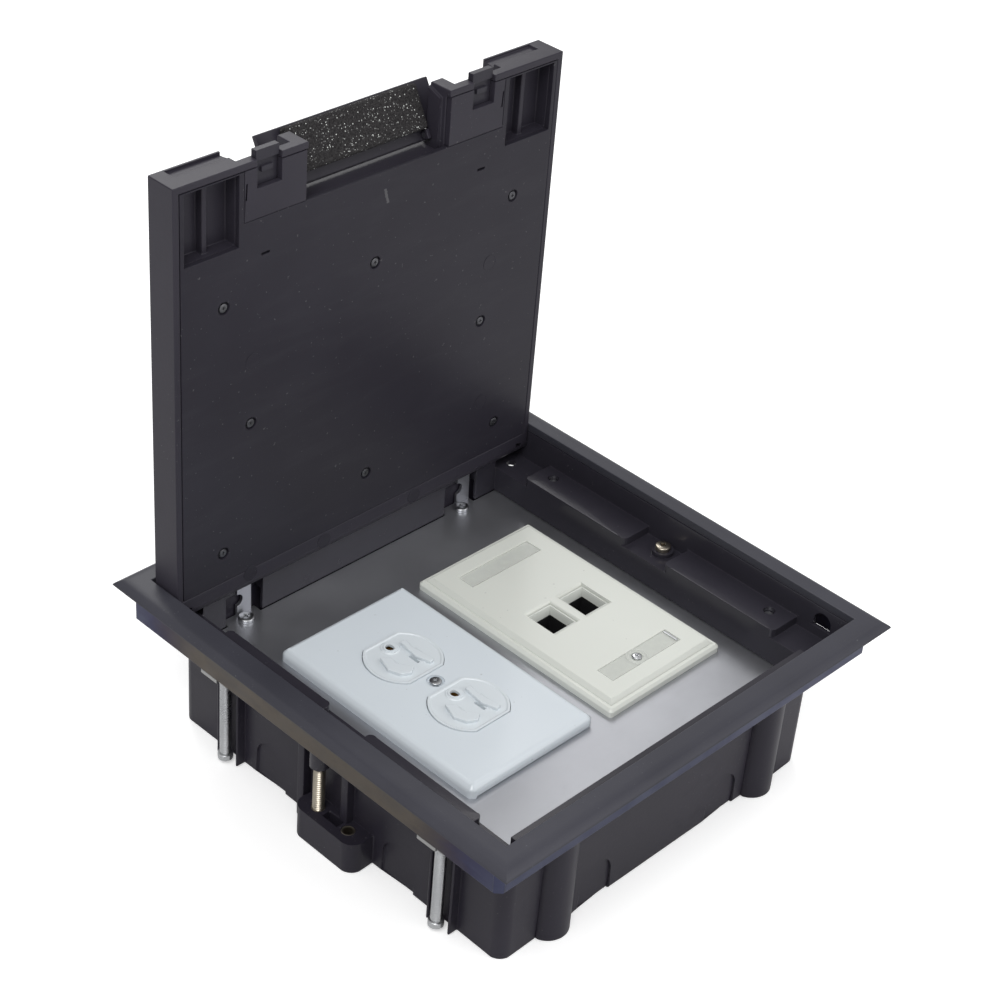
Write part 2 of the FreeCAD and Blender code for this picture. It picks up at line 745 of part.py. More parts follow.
def receptacleBody():
    # Duplex receptacle: a block below the plate, a tunnel for its strap and two outlet faces.
    body = newBody("receptacle_body")
    block = newSketch(body, "XY", "plateTop + duplexRise - plateShell - seatGap")
    rect(block, "duplexX - receptacleWidth / 2", "duplexY - receptacleLength / 2",
         "duplexX + receptacleWidth / 2", "duplexY + receptacleLength / 2")
    pad(body, block, "receptacleDepth", back=True)
    faces = newSketch(body, "XY", "plateTop + strapSheet + strapGap")
    for y in outlets:
        faceOutline(faces, y, "faceGap")
    pad(body, faces, "duplexRise + faceProud - strapSheet - strapGap")
    tunnel = newSketch(body, "XZ")
    rect(tunnel, "duplexX - strapWidth / 2 - runningFit", "plateTop",
         "duplexX + strapWidth / 2 + runningFit", "plateTop + strapSheet + runningFit")
    cut(body, tunnel)
    slots = newSketch(body, "XY", "plateTop + duplexRise + faceProud")
    grounds = newSketch(body, "XY", "plateTop + duplexRise + faceProud")
    for y in outlets:
        for sign in "+-":
            blade = "duplexX %s bladeReach" % sign
            rect(slots, blade + " - bladeSlot / 2", y + " - bladeLength",
                 blade + " + bladeSlot / 2", y)
        circle(grounds, "duplexX", y + " + groundOffset",
               "groundBore / 2 + contactWall + runningFit / 2")
    cut(body, slots, "bladeDepth")
    cut(body, grounds, "contactDepth + contactLength + runningFit")
    screw = newSketch(body, "XY", "plateTop + duplexRise")
    circle(screw, "duplexX", "duplexY", "screwShank / 2 + runningFit")
    cut(body, screw, "screwLength + 4 * headGap + headSink")


def receptacleStrap():
    body = newBody("receptacle_strap")
    strap = newSketch(body, "XY", "plateTop")
    rect(strap, "duplexX - strapWidth / 2", "duplexY - strapLength / 2",
         "duplexX + strapWidth / 2", "duplexY + strapLength / 2")
    circle(strap, "duplexX", "duplexY", "screwShank / 2 + runningFit")
    for sign in ("+", "-"):
        circle(strap, "duplexX", "duplexY %s yokeSpacing / 2" % sign, "yokeHole / 2")
    pad(body, strap, "strapSheet")


def groundContacts():
    body = newBody("ground_contacts", several=True)
    rings = newSketch(body, "XY", "contactTop")
    for y in outlets:
        circle(rings, "duplexX", y + " + groundOffset", "groundBore / 2 + contactWall")
        circle(rings, "duplexX", y + " + groundOffset", "groundBore / 2")
    pad(body, rings, "contactLength", back=True)


def dataPlate():
    # Stepped plate with two label windows and two ports.
    body = newBody("data_plate")
    wallPlate(body, "dataX", "dataY", "dataWidth", "dataLength", "dataRise - dataLip", "dataCorner")
    low = size("plateTop + dataRise - dataLip")
    soften(body, "Chamfer", lambda e: abs(e.BoundBox.ZMin - low) < 1e-4, "dataEdge")
    upper = newSketch(body, "XY", "plateTop + dataRise - dataLip")
    halfX, halfY = "(dataWidth / 2 - dataStep)", "(dataLength / 2 - dataStep)"
    rect(upper, "dataX - " + halfX, "dataY - " + halfY, "dataX + " + halfX, "dataY + " + halfY)
    pad(body, upper, "dataLip")
    top = size("plateTop + dataRise")
    soften(body, "Chamfer", lambda e: abs(e.BoundBox.ZMin - top) < 1e-4, "dataBevel")
    hollowPlate(body, "dataX", "dataY", "dataWidth", "dataLength", "dataRise - labelDepth", "dataInset")
    labels = newSketch(body, "XY", "plateTop + dataRise")
    for sign in ("+", "-"):
        row = "dataY %s labelOffset" % sign
        rect(labels, "dataX - labelWidth / 2", row + " - labelLength / 2",
             "dataX + labelWidth / 2", row + " + labelLength / 2")
    cut(body, labels, "labelDepth")
    holes = newSketch(body, "XY", "plateTop + dataRise")
    for sign in ("+", "-"):
        circle(holes, "dataX", "dataY %s labelOffset" % sign, "screwShank / 2 + runningFit")
        rect(holes, "dataX %s portSpacing / 2 - portWidth / 2" % sign, "dataY - portLength / 2",
             "dataX %s portSpacing / 2 + portWidth / 2" % sign, "dataY + portLength / 2")
    cut(body, holes)


def keystoneJack(label, sign):
    # Data jack: a body below the plate with an open plug cavity.
    body = newBody(label)
    x = "dataX %s portSpacing / 2" % sign
    halfX, halfY = "(portWidth / 2 - jackGap)", "(portLength / 2 - jackGap)"
    block = newSketch(body, "XY", "plateTop + dataRise - jackSink")
    rect(block, x + " - " + halfX, "dataY - " + halfY, x + " + " + halfX, "dataY + " + halfY)
    pad(body, block, "jackDepth", back=True)
    mouth = newSketch(body, "XY", "plateTop + dataRise - jackSink")
    left, right, step = x + " - mouthHalf", x + " + mouthHalf", "dataY + mouthStep"
    outline(mouth, [
        (left, "dataY - mouthFront"), (right, "dataY - mouthFront"), (right, step),
        (x + " + mouthNarrow", step), (x + " + mouthNarrow", "dataY + mouthBack"),
        (x + " - mouthNarrow", "dataY + mouthBack"), (x + " - mouthNarrow", step), (left, step)])
    cut(body, mouth, "mouthDepth")


def labelCovers():
    body = newBody("label_covers", several=True)
    covers = newSketch(body, "XY", "plateTop + dataRise - coverSink")
    halfX, halfY = "(labelWidth / 2 - coverSink)", "(labelLength / 2 - coverSink)"
    for sign in ("+", "-"):
        row = "dataY %s labelOffset" % sign
        rect(covers, "dataX - " + halfX, row + " - " + halfY, "dataX + " + halfX, row + " + " + halfY)
    pad(body, covers, "coverSheet", back=True)


def onLid(body, tilt="0"):
    # The lid's pieces are drawn shut and turned up about the hinge; the flap's also about its own.
    body.Placement.Rotation = FreeCAD.Rotation(V(-1, 0, 0), 90 + size(tilt))
    body.setExpression("Placement.Rotation.Angle", bind("90 + " + tilt))
    cosine, sine = "cos(90 + %s)" % tilt, "sin(90 + %s)" % tilt
    if tilt == "0":
        pivotY, pivotZ, openY, openZ = "hingeY", "hingeZ", "hingeY", "hingeZ"
    else:
        pivotY, pivotZ = "flapHingeY", "flapHingeZ"
        openY = "(hingeY + flapHingeZ - hingeZ)"
        openZ = "(hingeZ + hingeY - flapHingeY)"
    body.setExpression("Placement.Base.y", bind(
        "%s - (%s * %s + %s * %s)" % (openY, pivotY, cosine, pivotZ, sine)))
    body.setExpression("Placement.Base.z", bind(
        "%s - (%s * %s - %s * %s)" % (openZ, pivotZ, cosine, pivotY, sine)))
    doc.recompute()


def lidShell():
    # Lid moulding: a web below the carpet recess, and in front pockets, latches and the flap opening.
    body = newBody("lid_shell")
    side = newSketch(body, "YZ", "-lidHalf")
    outline(side, [
        ("lidFront", "lidUnder"), ("hingeY", "lidUnder", "hingeRise + 0.001"), ("lidBack", "hingeZ"),
        ("lidBack", "lidTop"), ("lidFront", "lidTop")])
    pad(body, side, "2 * lidHalf")
    soften(body, "Fillet", lambda e: straight(e, xAxis, ("y", "lidBack"), ("z", "lidTop")), "lidRim / 2")
    rim, face = "(lidHalf - lidRim)", "lidFront - 1"
    seat = newSketch(body, "XY", "lidUnder")
    rect(seat, "-" + rim, "lidFront + lidRim", rim, "linerBack + linerGap")
    cut(body, seat, "linerSheet", back=True)
    hollow = newSketch(body, "XY", "linerTop")
    rect(hollow, "-" + rim, "lidFront + pocketFront + pocketLength + lidRim", rim, "linerBack + linerGap")
    cut(body, hollow, "webBase - linerTop", back=True)
    carpet = newSketch(body, "XY", "lidTop")
    rect(carpet, "-" + rim, "flapEnd + cheekSheet", rim, "hingeY - lidRim")
    cut(body, carpet, "carpetDepth")
    pockets = newSketch(body, "XY", "lidUnder")
    mirrored(pockets, "pocketStart", "lidFront + pocketFront", "lidHalf - pocketInset",
             "lidFront + pocketFront + pocketLength")
    cut(body, pockets, "pocketDepth", back=True)
    ribs = newSketch(body, "XY", "pocketTop - pocketRibRise")
    middle = "(pocketStart + lidHalf - pocketInset) / 2"
    mirrored(ribs, middle + " - pocketRib / 2", "lidFront + pocketFront - 1", middle + " + pocketRib / 2",
             "lidFront + pocketFront + pocketLength + 1")
    pad(body, ribs, "pocketRibRise + 1")
    opening = newSketch(body, "XY", "lidTop")
    rect(opening, "-flapOpen", face, "flapOpen", "flapEnd")
    cut(body, opening)
    under = "lidTop - flapSheet - seatGap"
    for plane in ("flapOpen + 1", "-flapOpen - 1"):
        cheek = newSketch(body, "YZ", plane)
        outline(cheek, [
            ("lidFront + cheekSheet", under), ("lidFront + cheekDrop", "lidUnder + cheekDrop"),
            ("flapEnd + 1", "lidUnder + cheekDrop"), ("flapEnd + 1", under)])
        pad(body, cheek, "cheekSheet + 1", back=plane == "flapOpen + 1")
    wings = newSketch(body, "XY", "lidTop")
    wing = "(wingHalf + 2 * seatGap)"
    rect(wings, "-" + wing, face, wing, "flapHingeY + flapHingeInset")
    cut(body, wings, "flapSheet + seatGap")
    notches = newSketch(body, "XY", "lidTop")
    mirrored(notches, "latchX - notchWidth / 2", face, "latchX + notchWidth / 2",
             "lidFront + notchDepth")
    cut(body, notches, "lidTop - latchTop - linerGap")
    slots = newSketch(body, "XY", "lidUnder")
    slotHalf = "(latchWidth / 2 + seatGap)"
    mirrored(slots, "latchX - " + slotHalf, face, "latchX + " + slotHalf, "latchBack - seatGap")
    cut(body, slots, "latchTop - lidUnder + linerGap", back=True)
    springs = newSketch(body, "XY", "lidUnder")
    mirrored(springs, "latchX - " + slotHalf, "latchBack - 1", "latchX + " + slotHalf, "springEnd")
    cut(body, springs, "latchBase + springDiameter + seatGap - lidUnder", back=True)
    recess = newSketch(body, "XZ", "lidHalf")
    mirrored(recess, "latchX + notchWidth / 2 - 1", "(lidUnder + lidTop) / 2 + lidRim / 3",
             "lidHalf - faceRecessEnd", "lidTop - lidRim / 3")
    cut(body, recess, "faceRecess", back=False)
    for plane in ("lidHalf", "-lidHalf"):
        bore = newSketch(body, "YZ", plane)
        circle(bore, "hingeY", "hingeZ", "hingePin / 2 + runningFit / 4")
        cut(body, bore, "hingeSeat", back=plane != "lidHalf")
        axle = newSketch(body, "YZ", plane.replace("lidHalf", "(flapOpen + knuckleLength)"))
        circle(axle, "flapHingeY", "flapHingeZ", "flapPin / 2 + runningFit / 2")
        cut(body, axle, "cheekSheet + 2 * knuckleLength", back=plane != "lidHalf")
    slot = newSketch(body, "XY", "lidUnder")
    mirrored(slot, "lidHalf - lidRim - slotInset - slotLength", "hingeY - slotWidth / 2",
             "lidHalf - lidRim - slotInset", "hingeY + slotWidth / 2")
    cut(body, slot, "hingeRise", back=True)
    onLid(body)


def lidLiner():
    # Flat cover seated in the lid's underside, open over the corner pockets and the latches.
    body = newBody("lid_liner")
    sheet = newSketch(body, "XY", "lidUnder")
    rect(sheet, "-linerHalf", "lidFront + lidRim + linerGap", "linerHalf", "linerBack")
    pad(body, sheet, "linerSheet")
    pockets = newSketch(body, "XY", "lidUnder")
    mirrored(pockets, "pocketStart", "lidFront + pocketFront", "lidHalf - pocketInset",
             "lidFront + pocketFront + pocketLength")
    cut(body, pockets)
    opening = newSketch(body, "XY", "lidUnder")
    rect(opening, "-coverEnd - linerGap", "lidFront", "coverEnd + linerGap",
         "lidFront + coverLength + lidRim + 2 * linerGap")
    rect(opening, "-flapOpen", "lidFront + coverLength", "flapOpen", "flapEnd")
    cut(body, opening)
    onLid(body)


def latchCovers():
    # Two covers on the underside, each with a window for its latch.
    body = newBody("latch_covers", several=True)
    covers = newSketch(body, "XY", "lidUnder")
    front = "lidFront + lidRim + linerGap"
    mirrored(covers, "coverStart", front, "coverEnd", front + " + coverLength")
    pad(body, covers, "linerSheet")
    windows = newSketch(body, "XY", "lidUnder")
    half = "(latchWidth / 2 + seatGap)"
    mirrored(windows, "latchX - " + half, "lidFront", "latchX + " + half, "lidFront + notchDepth")
    cut(body, windows)
    slits = newSketch(body, "XY", "lidUnder")
    mirrored(slits, "coverEnd - slitInset - slitWidth", "lidFront + notchDepth - slitLength / 2",
             "coverEnd - slitInset", "lidFront + notchDepth + slitLength / 2")
    cut(body, slits)
    onLid(body)


def latch(label, sign):
    # Sliding latch: a tongue past the front edge, a grip in the notch and a tail to the spring.
    body = newBody(label)
    x, half = sign + "latchX", "latchWidth / 2"
    tip = "lidFront - latchThrow"
    bar = newSketch(body, "XY", "latchBase")
    rect(bar, "%s - %s" % (x, half), tip, "%s + %s" % (x, half), "latchBack")
    pad(body, bar, "latchSheet")
    tongue = newSketch(body, "XY", "latchBase")
    rect(tongue, "%s - %s" % (x, half), tip, "%s + %s" % (x, half), tip + " + tongueLength")
    rect(tongue, "%s - %s / 2" % (x, half), tip + " + 1.6 * tongueLength",
         "%s + %s / 2" % (x, half), tip + " + 2.1 * tongueLength")
    pad(body, tongue, "tongueDrop", back=True)
    grip = newSketch(body, "XY", "latchTop")
    rect(grip, "%s - %s + 1" % (x, half), "lidFront + gripInset",
         "%s + %s - 1" % (x, half), "lidFront + gripInset + gripLength")
    pad(body, grip, "gripRise")
    onLid(body)


def latchSpring(label, sign):
    # Compression spring behind the latch, drawn as a thin tube.
    body = newBody(label)
    coil = newSketch(body, "XZ", "-latchBack")
    radius = "springDiameter / 2"
    height = "latchBase + " + radius
    circle(coil, sign + "latchX", height, radius)
    circle(coil, sign + "latchX", height, radius + " - springWire")
    pad(body, coil, "springLength + latchTravel", back=True)
    onLid(body)


def cableFlap():
    # Flap over the cable outlet: outer plate with wings, and two knuckles for the pins.
    body = newBody("cable_flap")
    plate = newSketch(body, "XY", "lidTop - flapSheet")
    front = "lidFront + seatGap"
    rect(plate, "-flapHalf", front, "flapHalf", "flapHingeY - flapHeel")
    pad(body, plate, "flapSheet")
    heel = newSketch(body, "XY", "lidTop - flapSheet")
    inside = "flapOpen - cheekSheet - seatGap"
    rect(heel, "-(%s)" % inside, "flapHingeY - flapHeel - 1", inside, front + " + flapLength")
    pad(body, heel, "flapSheet")
    wings = newSketch(body, "XY", "lidTop - flapSheet")
    rect(wings, "-wingHalf", front, "wingHalf", front + " + wingLength")
    pad(body, wings, "flapSheet")
    low, high = "flapHingeZ - knuckle / 2", "lidTop - flapSheet / 2"
    start, end = "flapHingeY - knuckle / 2", "flapHingeY + flapHingeInset - seatGap / 3"
    for sign in ("", "-"):
        block = newSketch(body, "YZ", sign + "(%s)" % inside)
        outline(block, [(start, high), (start, low), (end, low), (end, high)])
        pad(body, block, "knuckleLength", back=sign == "")
    pins = newSketch(body, "YZ", "-flapHalf")
    circle(pins, "flapHingeY", "flapHingeZ", "flapPin / 2 + runningFit / 2")
    cut(body, pins)
    onLid(body, "flapTilt")


def flapFoam():
    body = newBody("flap_foam")
    foam = newSketch(body, "XY", "lidTop - flapSheet")
    rect(foam, "foamInset - flapHalf", "lidFront + seatGap + foamStart", "flapHalf - foamInset",
         "flapHingeY - knuckle / 2 - seatGap")
    pad(body, foam, "foamThickness", back=True)
    onLid(body, "flapTilt")


def flapPins():
    body = newBody("flap_pins", several=True)
    for sign in ("", "-"):
        pin = newSketch(body, "YZ", sign + "(flapOpen - cheekSheet - seatGap - knuckleLength)")
        circle(pin, "flapHingeY", "flapHingeZ", "flapPin / 2")
        pad(body, pin, "cheekSheet + 2 * knuckleLength", back=sign == "-")
    onLid(body)


def hingePin(label, sign):
    body = newBody(label)
    pin = newSketch(body, "YZ", sign + "(lidHalf - hingeSeat + hingeEnd)")
    circle(pin, "hingeY", "hingeZ", "hingePin / 2")
    pad(body, pin, "hingeSeat - hingeEnd + frameWall + lidSideGap / 2", back=sign == "-")


def levelScrews():
    spots = [(side + "levelReach", turn + "levelOffset") for side, turn in sides]
    screwGroup("level_screws", spots, "bayTop + bossRise", "screwHead", "screwHeadRise",
               "levelScrew", "bayTop + bossRise - levelFoot")


def brassInserts():
    body = newBody("brass_inserts", several=True)
    rings = newSketch(body, "XY", "earHeight - insertDepth")
    for side, turn in sides:
        for spot in ("levelOffset", "(levelOffset - insertSpacing)"):
            circle(rings, side + "levelReach", turn + spot, "insertDiameter / 2")
            circle(rings, side + "levelReach", turn + spot, "levelScrew / 2 + runningFit")
    pad(body, rings, "insertDepth")


def clampScrewSet():
    body = newBody("clamp_screws", several=True)
    rods = newSketch(body, "XY", "ledgeTop - clampSink")
    tips = newSketch(body, "XY", "clampFoot")
    for side, turn in sides:
        for row in clampRows:
            circle(rods, side + "clampReach", row, "clampScrew / 2")
            circle(tips, side + "clampReach", row, "clampTip / 2")
    pad(body, rods, "ledgeTop - clampSink - clampFoot - clampTipRise / 2", back=True)
    pad(body, tips, "clampTipRise")


def clampClaw(label, side, row):
    # Steel claw on a clamp screw, stowed at the top and drawn along the screw.
    body = newBody(label)
    base = "trayTop - clawDrop - clawHeight"
    block = newSketch(body, "XY", base)
    inner, outer = "clampReach - clampScrew / 2 - clawWall", "clampReach + clampScrew / 2 + clawWall"
    half = "guideOffset - guideRib / 2 - seatGap"
    low, high = "(%s) - (%s)" % (row, half), "(%s) + (%s)" % (row, half)
    if side:
        rect(block, "-(%s)" % outer, low, "-(%s)" % inner, high)
    else:
        rect(block, inner, low, outer, high)
    circle(block, side + "clampReach", row, "clampScrew / 2 + runningFit")
    pad(body, block, "clawHeight")
    arm = newSketch(body, "XY", base + " + clawHeight")
    if side:
        rect(arm, "-(clampReach + clawReach)", low, "-(%s) + 1" % outer, high)
    else:
        rect(arm, "%s - 1" % outer, low, "clampReach + clawReach", high)
    pad(body, arm, "clawArm", back=True)


def checkAndWrite():
    doc.recompute()
    for item in doc.Objects:
        if "Invalid" in item.State or "Error" in item.State:
            raise RuntimeError("%s failed: %s" % (item.Label, item.State))
        if item.TypeId == "PartDesign::Pocket":
            if item.Shape.Volume > item.BaseFeature.Shape.Volume - 0.01:
                raise RuntimeError(item.Name + " cuts nothing")
    os.makedirs("parts", exist_ok=True)
    for item in doc.Objects:
        if item.TypeId == "PartDesign::Body":
            if item.Shape.isNull() or not item.Shape.isValid():
                raise RuntimeError(item.Label + " has no valid shape")
            item.Shape.exportStep("parts/" + item.Label + ".step")
            print("%-20s solids %d  volume %.0f" % (item.Label, len(item.Shape.Solids), item.Shape.Volume))


trimFrame()
supportFlange()
frameMoulding()
trayFloor()
trayEnd("tray_front", "trayFront", "trayInFront", "+")
trayEnd("tray_back", "trayBack", "trayInBack", "-")
traySide("tray_right", *sides[0])
traySide("tray_left", *sides[1])
devicePlate()
lugSpots = [(sign + "lugSpacing / 2", spot) for sign in ("", "-") for spot in
            ("trayInBack - postSize / 2", "trayInFront + postSize / 2")]
screwGroup("plate_screws", lugSpots, "plateTop", "screwHead", "screwHeadRise", "postPilot",
           "screwLength")
duplexPlate()
receptacleBody()
receptacleStrap()
groundContacts()
screwGroup("duplex_screw", [("duplexX", "duplexY")], "plateTop + duplexRise - headSink", "screwHead",
           "headSink + faceProud", "screwShank", "screwLength")
dataPlate()
keystoneJack("keystone_jack_left", "-")
keystoneJack("keystone_jack_right", "+")
labelCovers()
screwGroup("data_screws", [("dataX", "dataY + labelOffset"), ("dataX", "dataY - labelOffset")],
           "plateTop + dataRise - labelDepth", "screwShank * 1.5",
           "labelDepth - coverSink - coverSheet - runningFit", "screwShank", "screwLength")
lidShell()
lidLiner()
latchCovers()
latch("latch_left", "-")
latch("latch_right", "")
latchSpring("latch_spring_left", "-")
latchSpring("latch_spring_right", "")
cableFlap()
flapFoam()
flapPins()
hingePin("hinge_pin_left", "-")
hingePin("hinge_pin_right", "")
levelScrews()
brassInserts()
clampScrewSet()
for name, side, row in (("front_left", "-", clampRows[1]), ("front_right", "", clampRows[1]),
                        ("back_left", "-", clampRows[0]), ("back_right", "", clampRows[0])):
    clampClaw("clamp_claw_" + name, side, row)
checkAndWrite()
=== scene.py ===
import json
import math
import bmesh
import bpy
from mathutils import Matrix, Vector, noise


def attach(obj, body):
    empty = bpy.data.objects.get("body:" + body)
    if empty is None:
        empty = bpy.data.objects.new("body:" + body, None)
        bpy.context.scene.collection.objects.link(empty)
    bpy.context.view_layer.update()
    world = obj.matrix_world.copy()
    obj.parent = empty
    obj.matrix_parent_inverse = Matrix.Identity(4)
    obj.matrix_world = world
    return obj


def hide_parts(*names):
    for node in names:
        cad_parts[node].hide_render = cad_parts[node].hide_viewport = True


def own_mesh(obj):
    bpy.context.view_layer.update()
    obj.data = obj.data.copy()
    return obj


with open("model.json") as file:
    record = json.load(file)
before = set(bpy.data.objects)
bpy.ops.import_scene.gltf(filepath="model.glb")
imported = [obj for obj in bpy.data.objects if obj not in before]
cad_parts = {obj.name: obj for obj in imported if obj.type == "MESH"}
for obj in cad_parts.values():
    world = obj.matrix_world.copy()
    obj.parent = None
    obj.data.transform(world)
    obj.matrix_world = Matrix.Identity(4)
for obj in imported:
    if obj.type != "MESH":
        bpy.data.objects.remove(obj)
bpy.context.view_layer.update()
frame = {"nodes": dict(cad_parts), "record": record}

nodes = frame["nodes"]

# camera first: the main view of the scene
camera = {"place": (-0.5536, -0.4910, 0.6408), "azimuth": -47.984, "elevation": 34.904,
          "roll": 5.001, "lens": 81.14, "sensor": 36.0}
turn, tip, roll = (math.radians(camera[k]) for k in ("azimuth", "elevation", "roll"))
back = Vector((math.sin(turn) * math.cos(tip), -math.cos(turn) * math.cos(tip), math.sin(tip)))
level = Vector((0, 0, 1)).cross(back).normalized()
upright = back.cross(level)
across = level * math.cos(roll) + upright * math.sin(roll)
above = upright * math.cos(roll) - level * math.sin(roll)
lens = bpy.data.cameras.new("studioCamera")
lens.sensor_width, lens.lens, lens.clip_start = camera["sensor"], camera["lens"], 0.01
studioCamera = bpy.data.objects.new("studioCamera", lens)
studioCamera.matrix_world = Matrix((
    (across.x, above.x, back.x, camera["place"][0]), (across.y, above.y, back.y, camera["place"][1]),
    (across.z, above.z, back.z, camera["place"][2]), (0, 0, 0, 1)))
bpy.context.collection.objects.link(studioCamera)
bpy.context.scene.camera = studioCamera
bpy.context.scene.view_settings.view_transform = "Standard"
print("camera set")


class Wire:
    # a node's output that can be used in a sum
    def __init__(self, finish, socket):
        self.finish, self.socket = finish, socket

    def maths(self, operation, first, second=None):
        values = {k: v for k, v in enumerate((first, second)) if v is not None}
        return self.finish.node("Math", {"operation": operation}, values)

    def __add__(self, other): return self.maths("ADD", self, other)
    __radd__ = __add__
    def __sub__(self, other): return self.maths("SUBTRACT", self, other)
    def __rsub__(self, other): return self.maths("SUBTRACT", other, self)
    def __mul__(self, other): return self.maths("MULTIPLY", self, other)
    __rmul__ = __mul__
    def __truediv__(self, other): return self.maths("DIVIDE", self, other)
    def __rtruediv__(self, other): return self.maths("DIVIDE", other, self)
    def __pow__(self, other): return self.maths("POWER", self, other)
    def __lt__(self, other): return self.maths("LESS_THAN", self, other)
    def __gt__(self, other): return self.maths("GREATER_THAN", self, other)
    def __abs__(self): return self.maths("ABSOLUTE", self)


class Finish:
    # one procedural material
    def __init__(self, name, look):
        self.material = bpy.data.materials.new(name)
        self.material.use_nodes = True
        self.tree = self.material.node_tree
        self.shader = self.tree.nodes["Principled BSDF"]
        for socket, value in look.items():
            self.shader.inputs[socket].default_value = value

    def node(self, kind, settings, sockets, output=0):
        made = self.tree.nodes.new("ShaderNode" + kind)
        for key, value in settings.items():
            if key == "stops":
                ramp = made.color_ramp
                while len(ramp.elements) < len(value):
                    ramp.elements.new(0.5)
                for stop, (place, shade) in zip(ramp.elements, value):
                    stop.position = place
                    stop.color = shade if len(shade) == 4 else (*shade, 1)
            else:
                setattr(made, key, value)
        for key, value in sockets.items():
            socket = made.inputs[key]
            if isinstance(value, Wire):
                self.tree.links.new(value.socket, socket)
            else:
                socket.default_value = value
        return Wire(self, made.outputs[output])

    def feed(self, socket, wire):
        self.tree.links.new(wire.socket, self.shader.inputs[socket])

    def place(self, scale=(1, 1, 1), shift=(0, 0, 0), spin=(0, 0, 0)):
        coordinates = self.node("TexCoord", {}, {}, 3)
        return self.node("Mapping", {}, {"Vector": coordinates, "Scale": scale, "Location": shift,
                                         "Rotation": spin})

    def axis(self, letter, where=None):
        return self.node("SeparateXYZ", {}, {"Vector": where or self.place()}, "XYZ".index(letter))

    def noise(self, scale, detail=3.0, rough=0.5, where=None, twist=0.0):
        return self.node("TexNoise", {}, {"Vector": where or self.place(), "Scale": scale, "Detail": detail,
                                          "Roughness": rough, "Distortion": twist})

    def ramp(self, wire, low, high, dark=0.0, light=1.0):
        return self.node("MapRange", {"clamp": True}, {
            "Value": wire, "From Min": low, "From Max": high, "To Min": dark, "To Max": light})

    def mix(self, factor, one, two):
        made = self.node("Mix", {"data_type": "RGBA"}, {}, 2)
        mixer = made.socket.node
        for index, value in ((0, factor), (6, one), (7, two)):
            if isinstance(value, Wire):
                self.tree.links.new(value.socket, mixer.inputs[index])
            else:
                mixer.inputs[index].default_value = value if index == 0 else (*value[:3], 1)
        return made

    def bump(self, height, depth, strength=1.0, after=None):
        sockets = {"Height": height, "Distance": depth, "Strength": strength}
        if after:
            sockets["Normal"] = after
        return self.node("Bump", {}, sockets)


def mouldedPlastic(name, shade, lift, gloss, grain=1.0, dust=0.12, level=0.5):
    # moulded plastic: fine spark grain, slow shade change, rubbed patches and dust
    made = Finish(name, {"IOR": 1.46, "Specular IOR Level": level})
    slow = made.ramp(made.noise(14, 3, 0.55), 0.3, 0.7)
    fine = made.noise(2600, 2, 0.6)
    rubbed = made.ramp(made.noise(60, 5, 0.7, twist=0.6), 0.56, 0.75)
    specks = made.ramp(made.noise(900, 1, 0.4), 0.73, 0.79)
    patches = made.ramp(made.noise(35, 2, 0.5, made.place(shift=(3, 1, 2))), 0.48, 0.62)
    motes = specks * patches * dust
    colour = made.mix(slow, shade, lift)
    colour = made.mix(motes, colour, (0.55, 0.55, 0.56))
    made.feed("Base Color", colour)
    made.feed("Roughness", gloss + 0.05 * slow + 0.07 * rubbed + 0.2 * motes)
    made.feed("Normal", made.bump(fine, 0.00003 * grain, 0.6, made.bump(
        made.noise(420, 2, 0.5), 0.00006 * grain, 0.4)))
    return made.material


def linerPlastic(name, shade, lift, gloss):
    # the lid's inner face: satin grain, faint horizontal streaks of painted sheen with gloss that varies
    # along them, and one faint scrape
    made = Finish(name, {"IOR": 1.46, "Specular IOR Level": 0.18})
    where = made.place()
    slow = made.ramp(made.noise(11, 3, 0.55), 0.3, 0.7)
    # horizontal streaks: they paint sheen into the colour and vary the roughness
    sheenStreaks = made.ramp(made.noise(26, 4, 0.6, made.place(scale=(1, 1, 5), spin=(0, 0.5, 0))), 0.5, 0.7)
    x, z = made.axis("X", where), made.axis("Z", where)
    ragged = made.noise(900, 4, 0.7) * 0.002
    bent = abs(x - 0.0046 + (z - 0.2238) * 0.25) + ragged
    scrape = (bent < 0.0016) * (abs(z - 0.2238) < 0.0034)
    dots = made.ramp(made.noise(700, 1, 0.4), 0.76, 0.80)
    colour = made.mix(slow, shade, lift)
    # painted sheen: the streaks lighten the colour
    colour = made.mix(sheenStreaks * 0.04, colour, (0.12, 0.12, 0.13))
    colour = made.mix(scrape * 0.14 + dots * 0.10, colour, (0.5, 0.5, 0.5))
    made.feed("Base Color", colour)
    made.feed("Roughness", gloss + 0.06 * slow + 0.04 * sheenStreaks + 0.2 * scrape)
    made.feed("Normal", made.bump(made.noise(2400, 2, 0.6), 0.00004, 0.6))
    return made.material


def sheetMetal(name, shade, lift, gloss, lines=(1, 30, 1), streak=0.5, metal=1.0):
    # rolled or plated steel: long fine streaks, a faint cloud and tiny marks
    made = Finish(name, {"Metallic": metal})
    cloud = made.ramp(made.noise(22, 4, 0.6), 0.32, 0.68)
    streaks = made.noise(180, 3, 0.6, made.place(scale=lines))
    marks = made.ramp(made.noise(240, 4, 0.65, twist=0.4), 0.66, 0.74)
    made.feed("Base Color", made.mix(cloud * 0.7 + streaks * 0.3, shade, lift))
    made.feed("Roughness", gloss + 0.08 * cloud + 0.1 * streak * streaks + 0.12 * marks)
    made.feed("Normal", made.bump(streaks, 0.00004 * streak, 0.5))
    return made.material


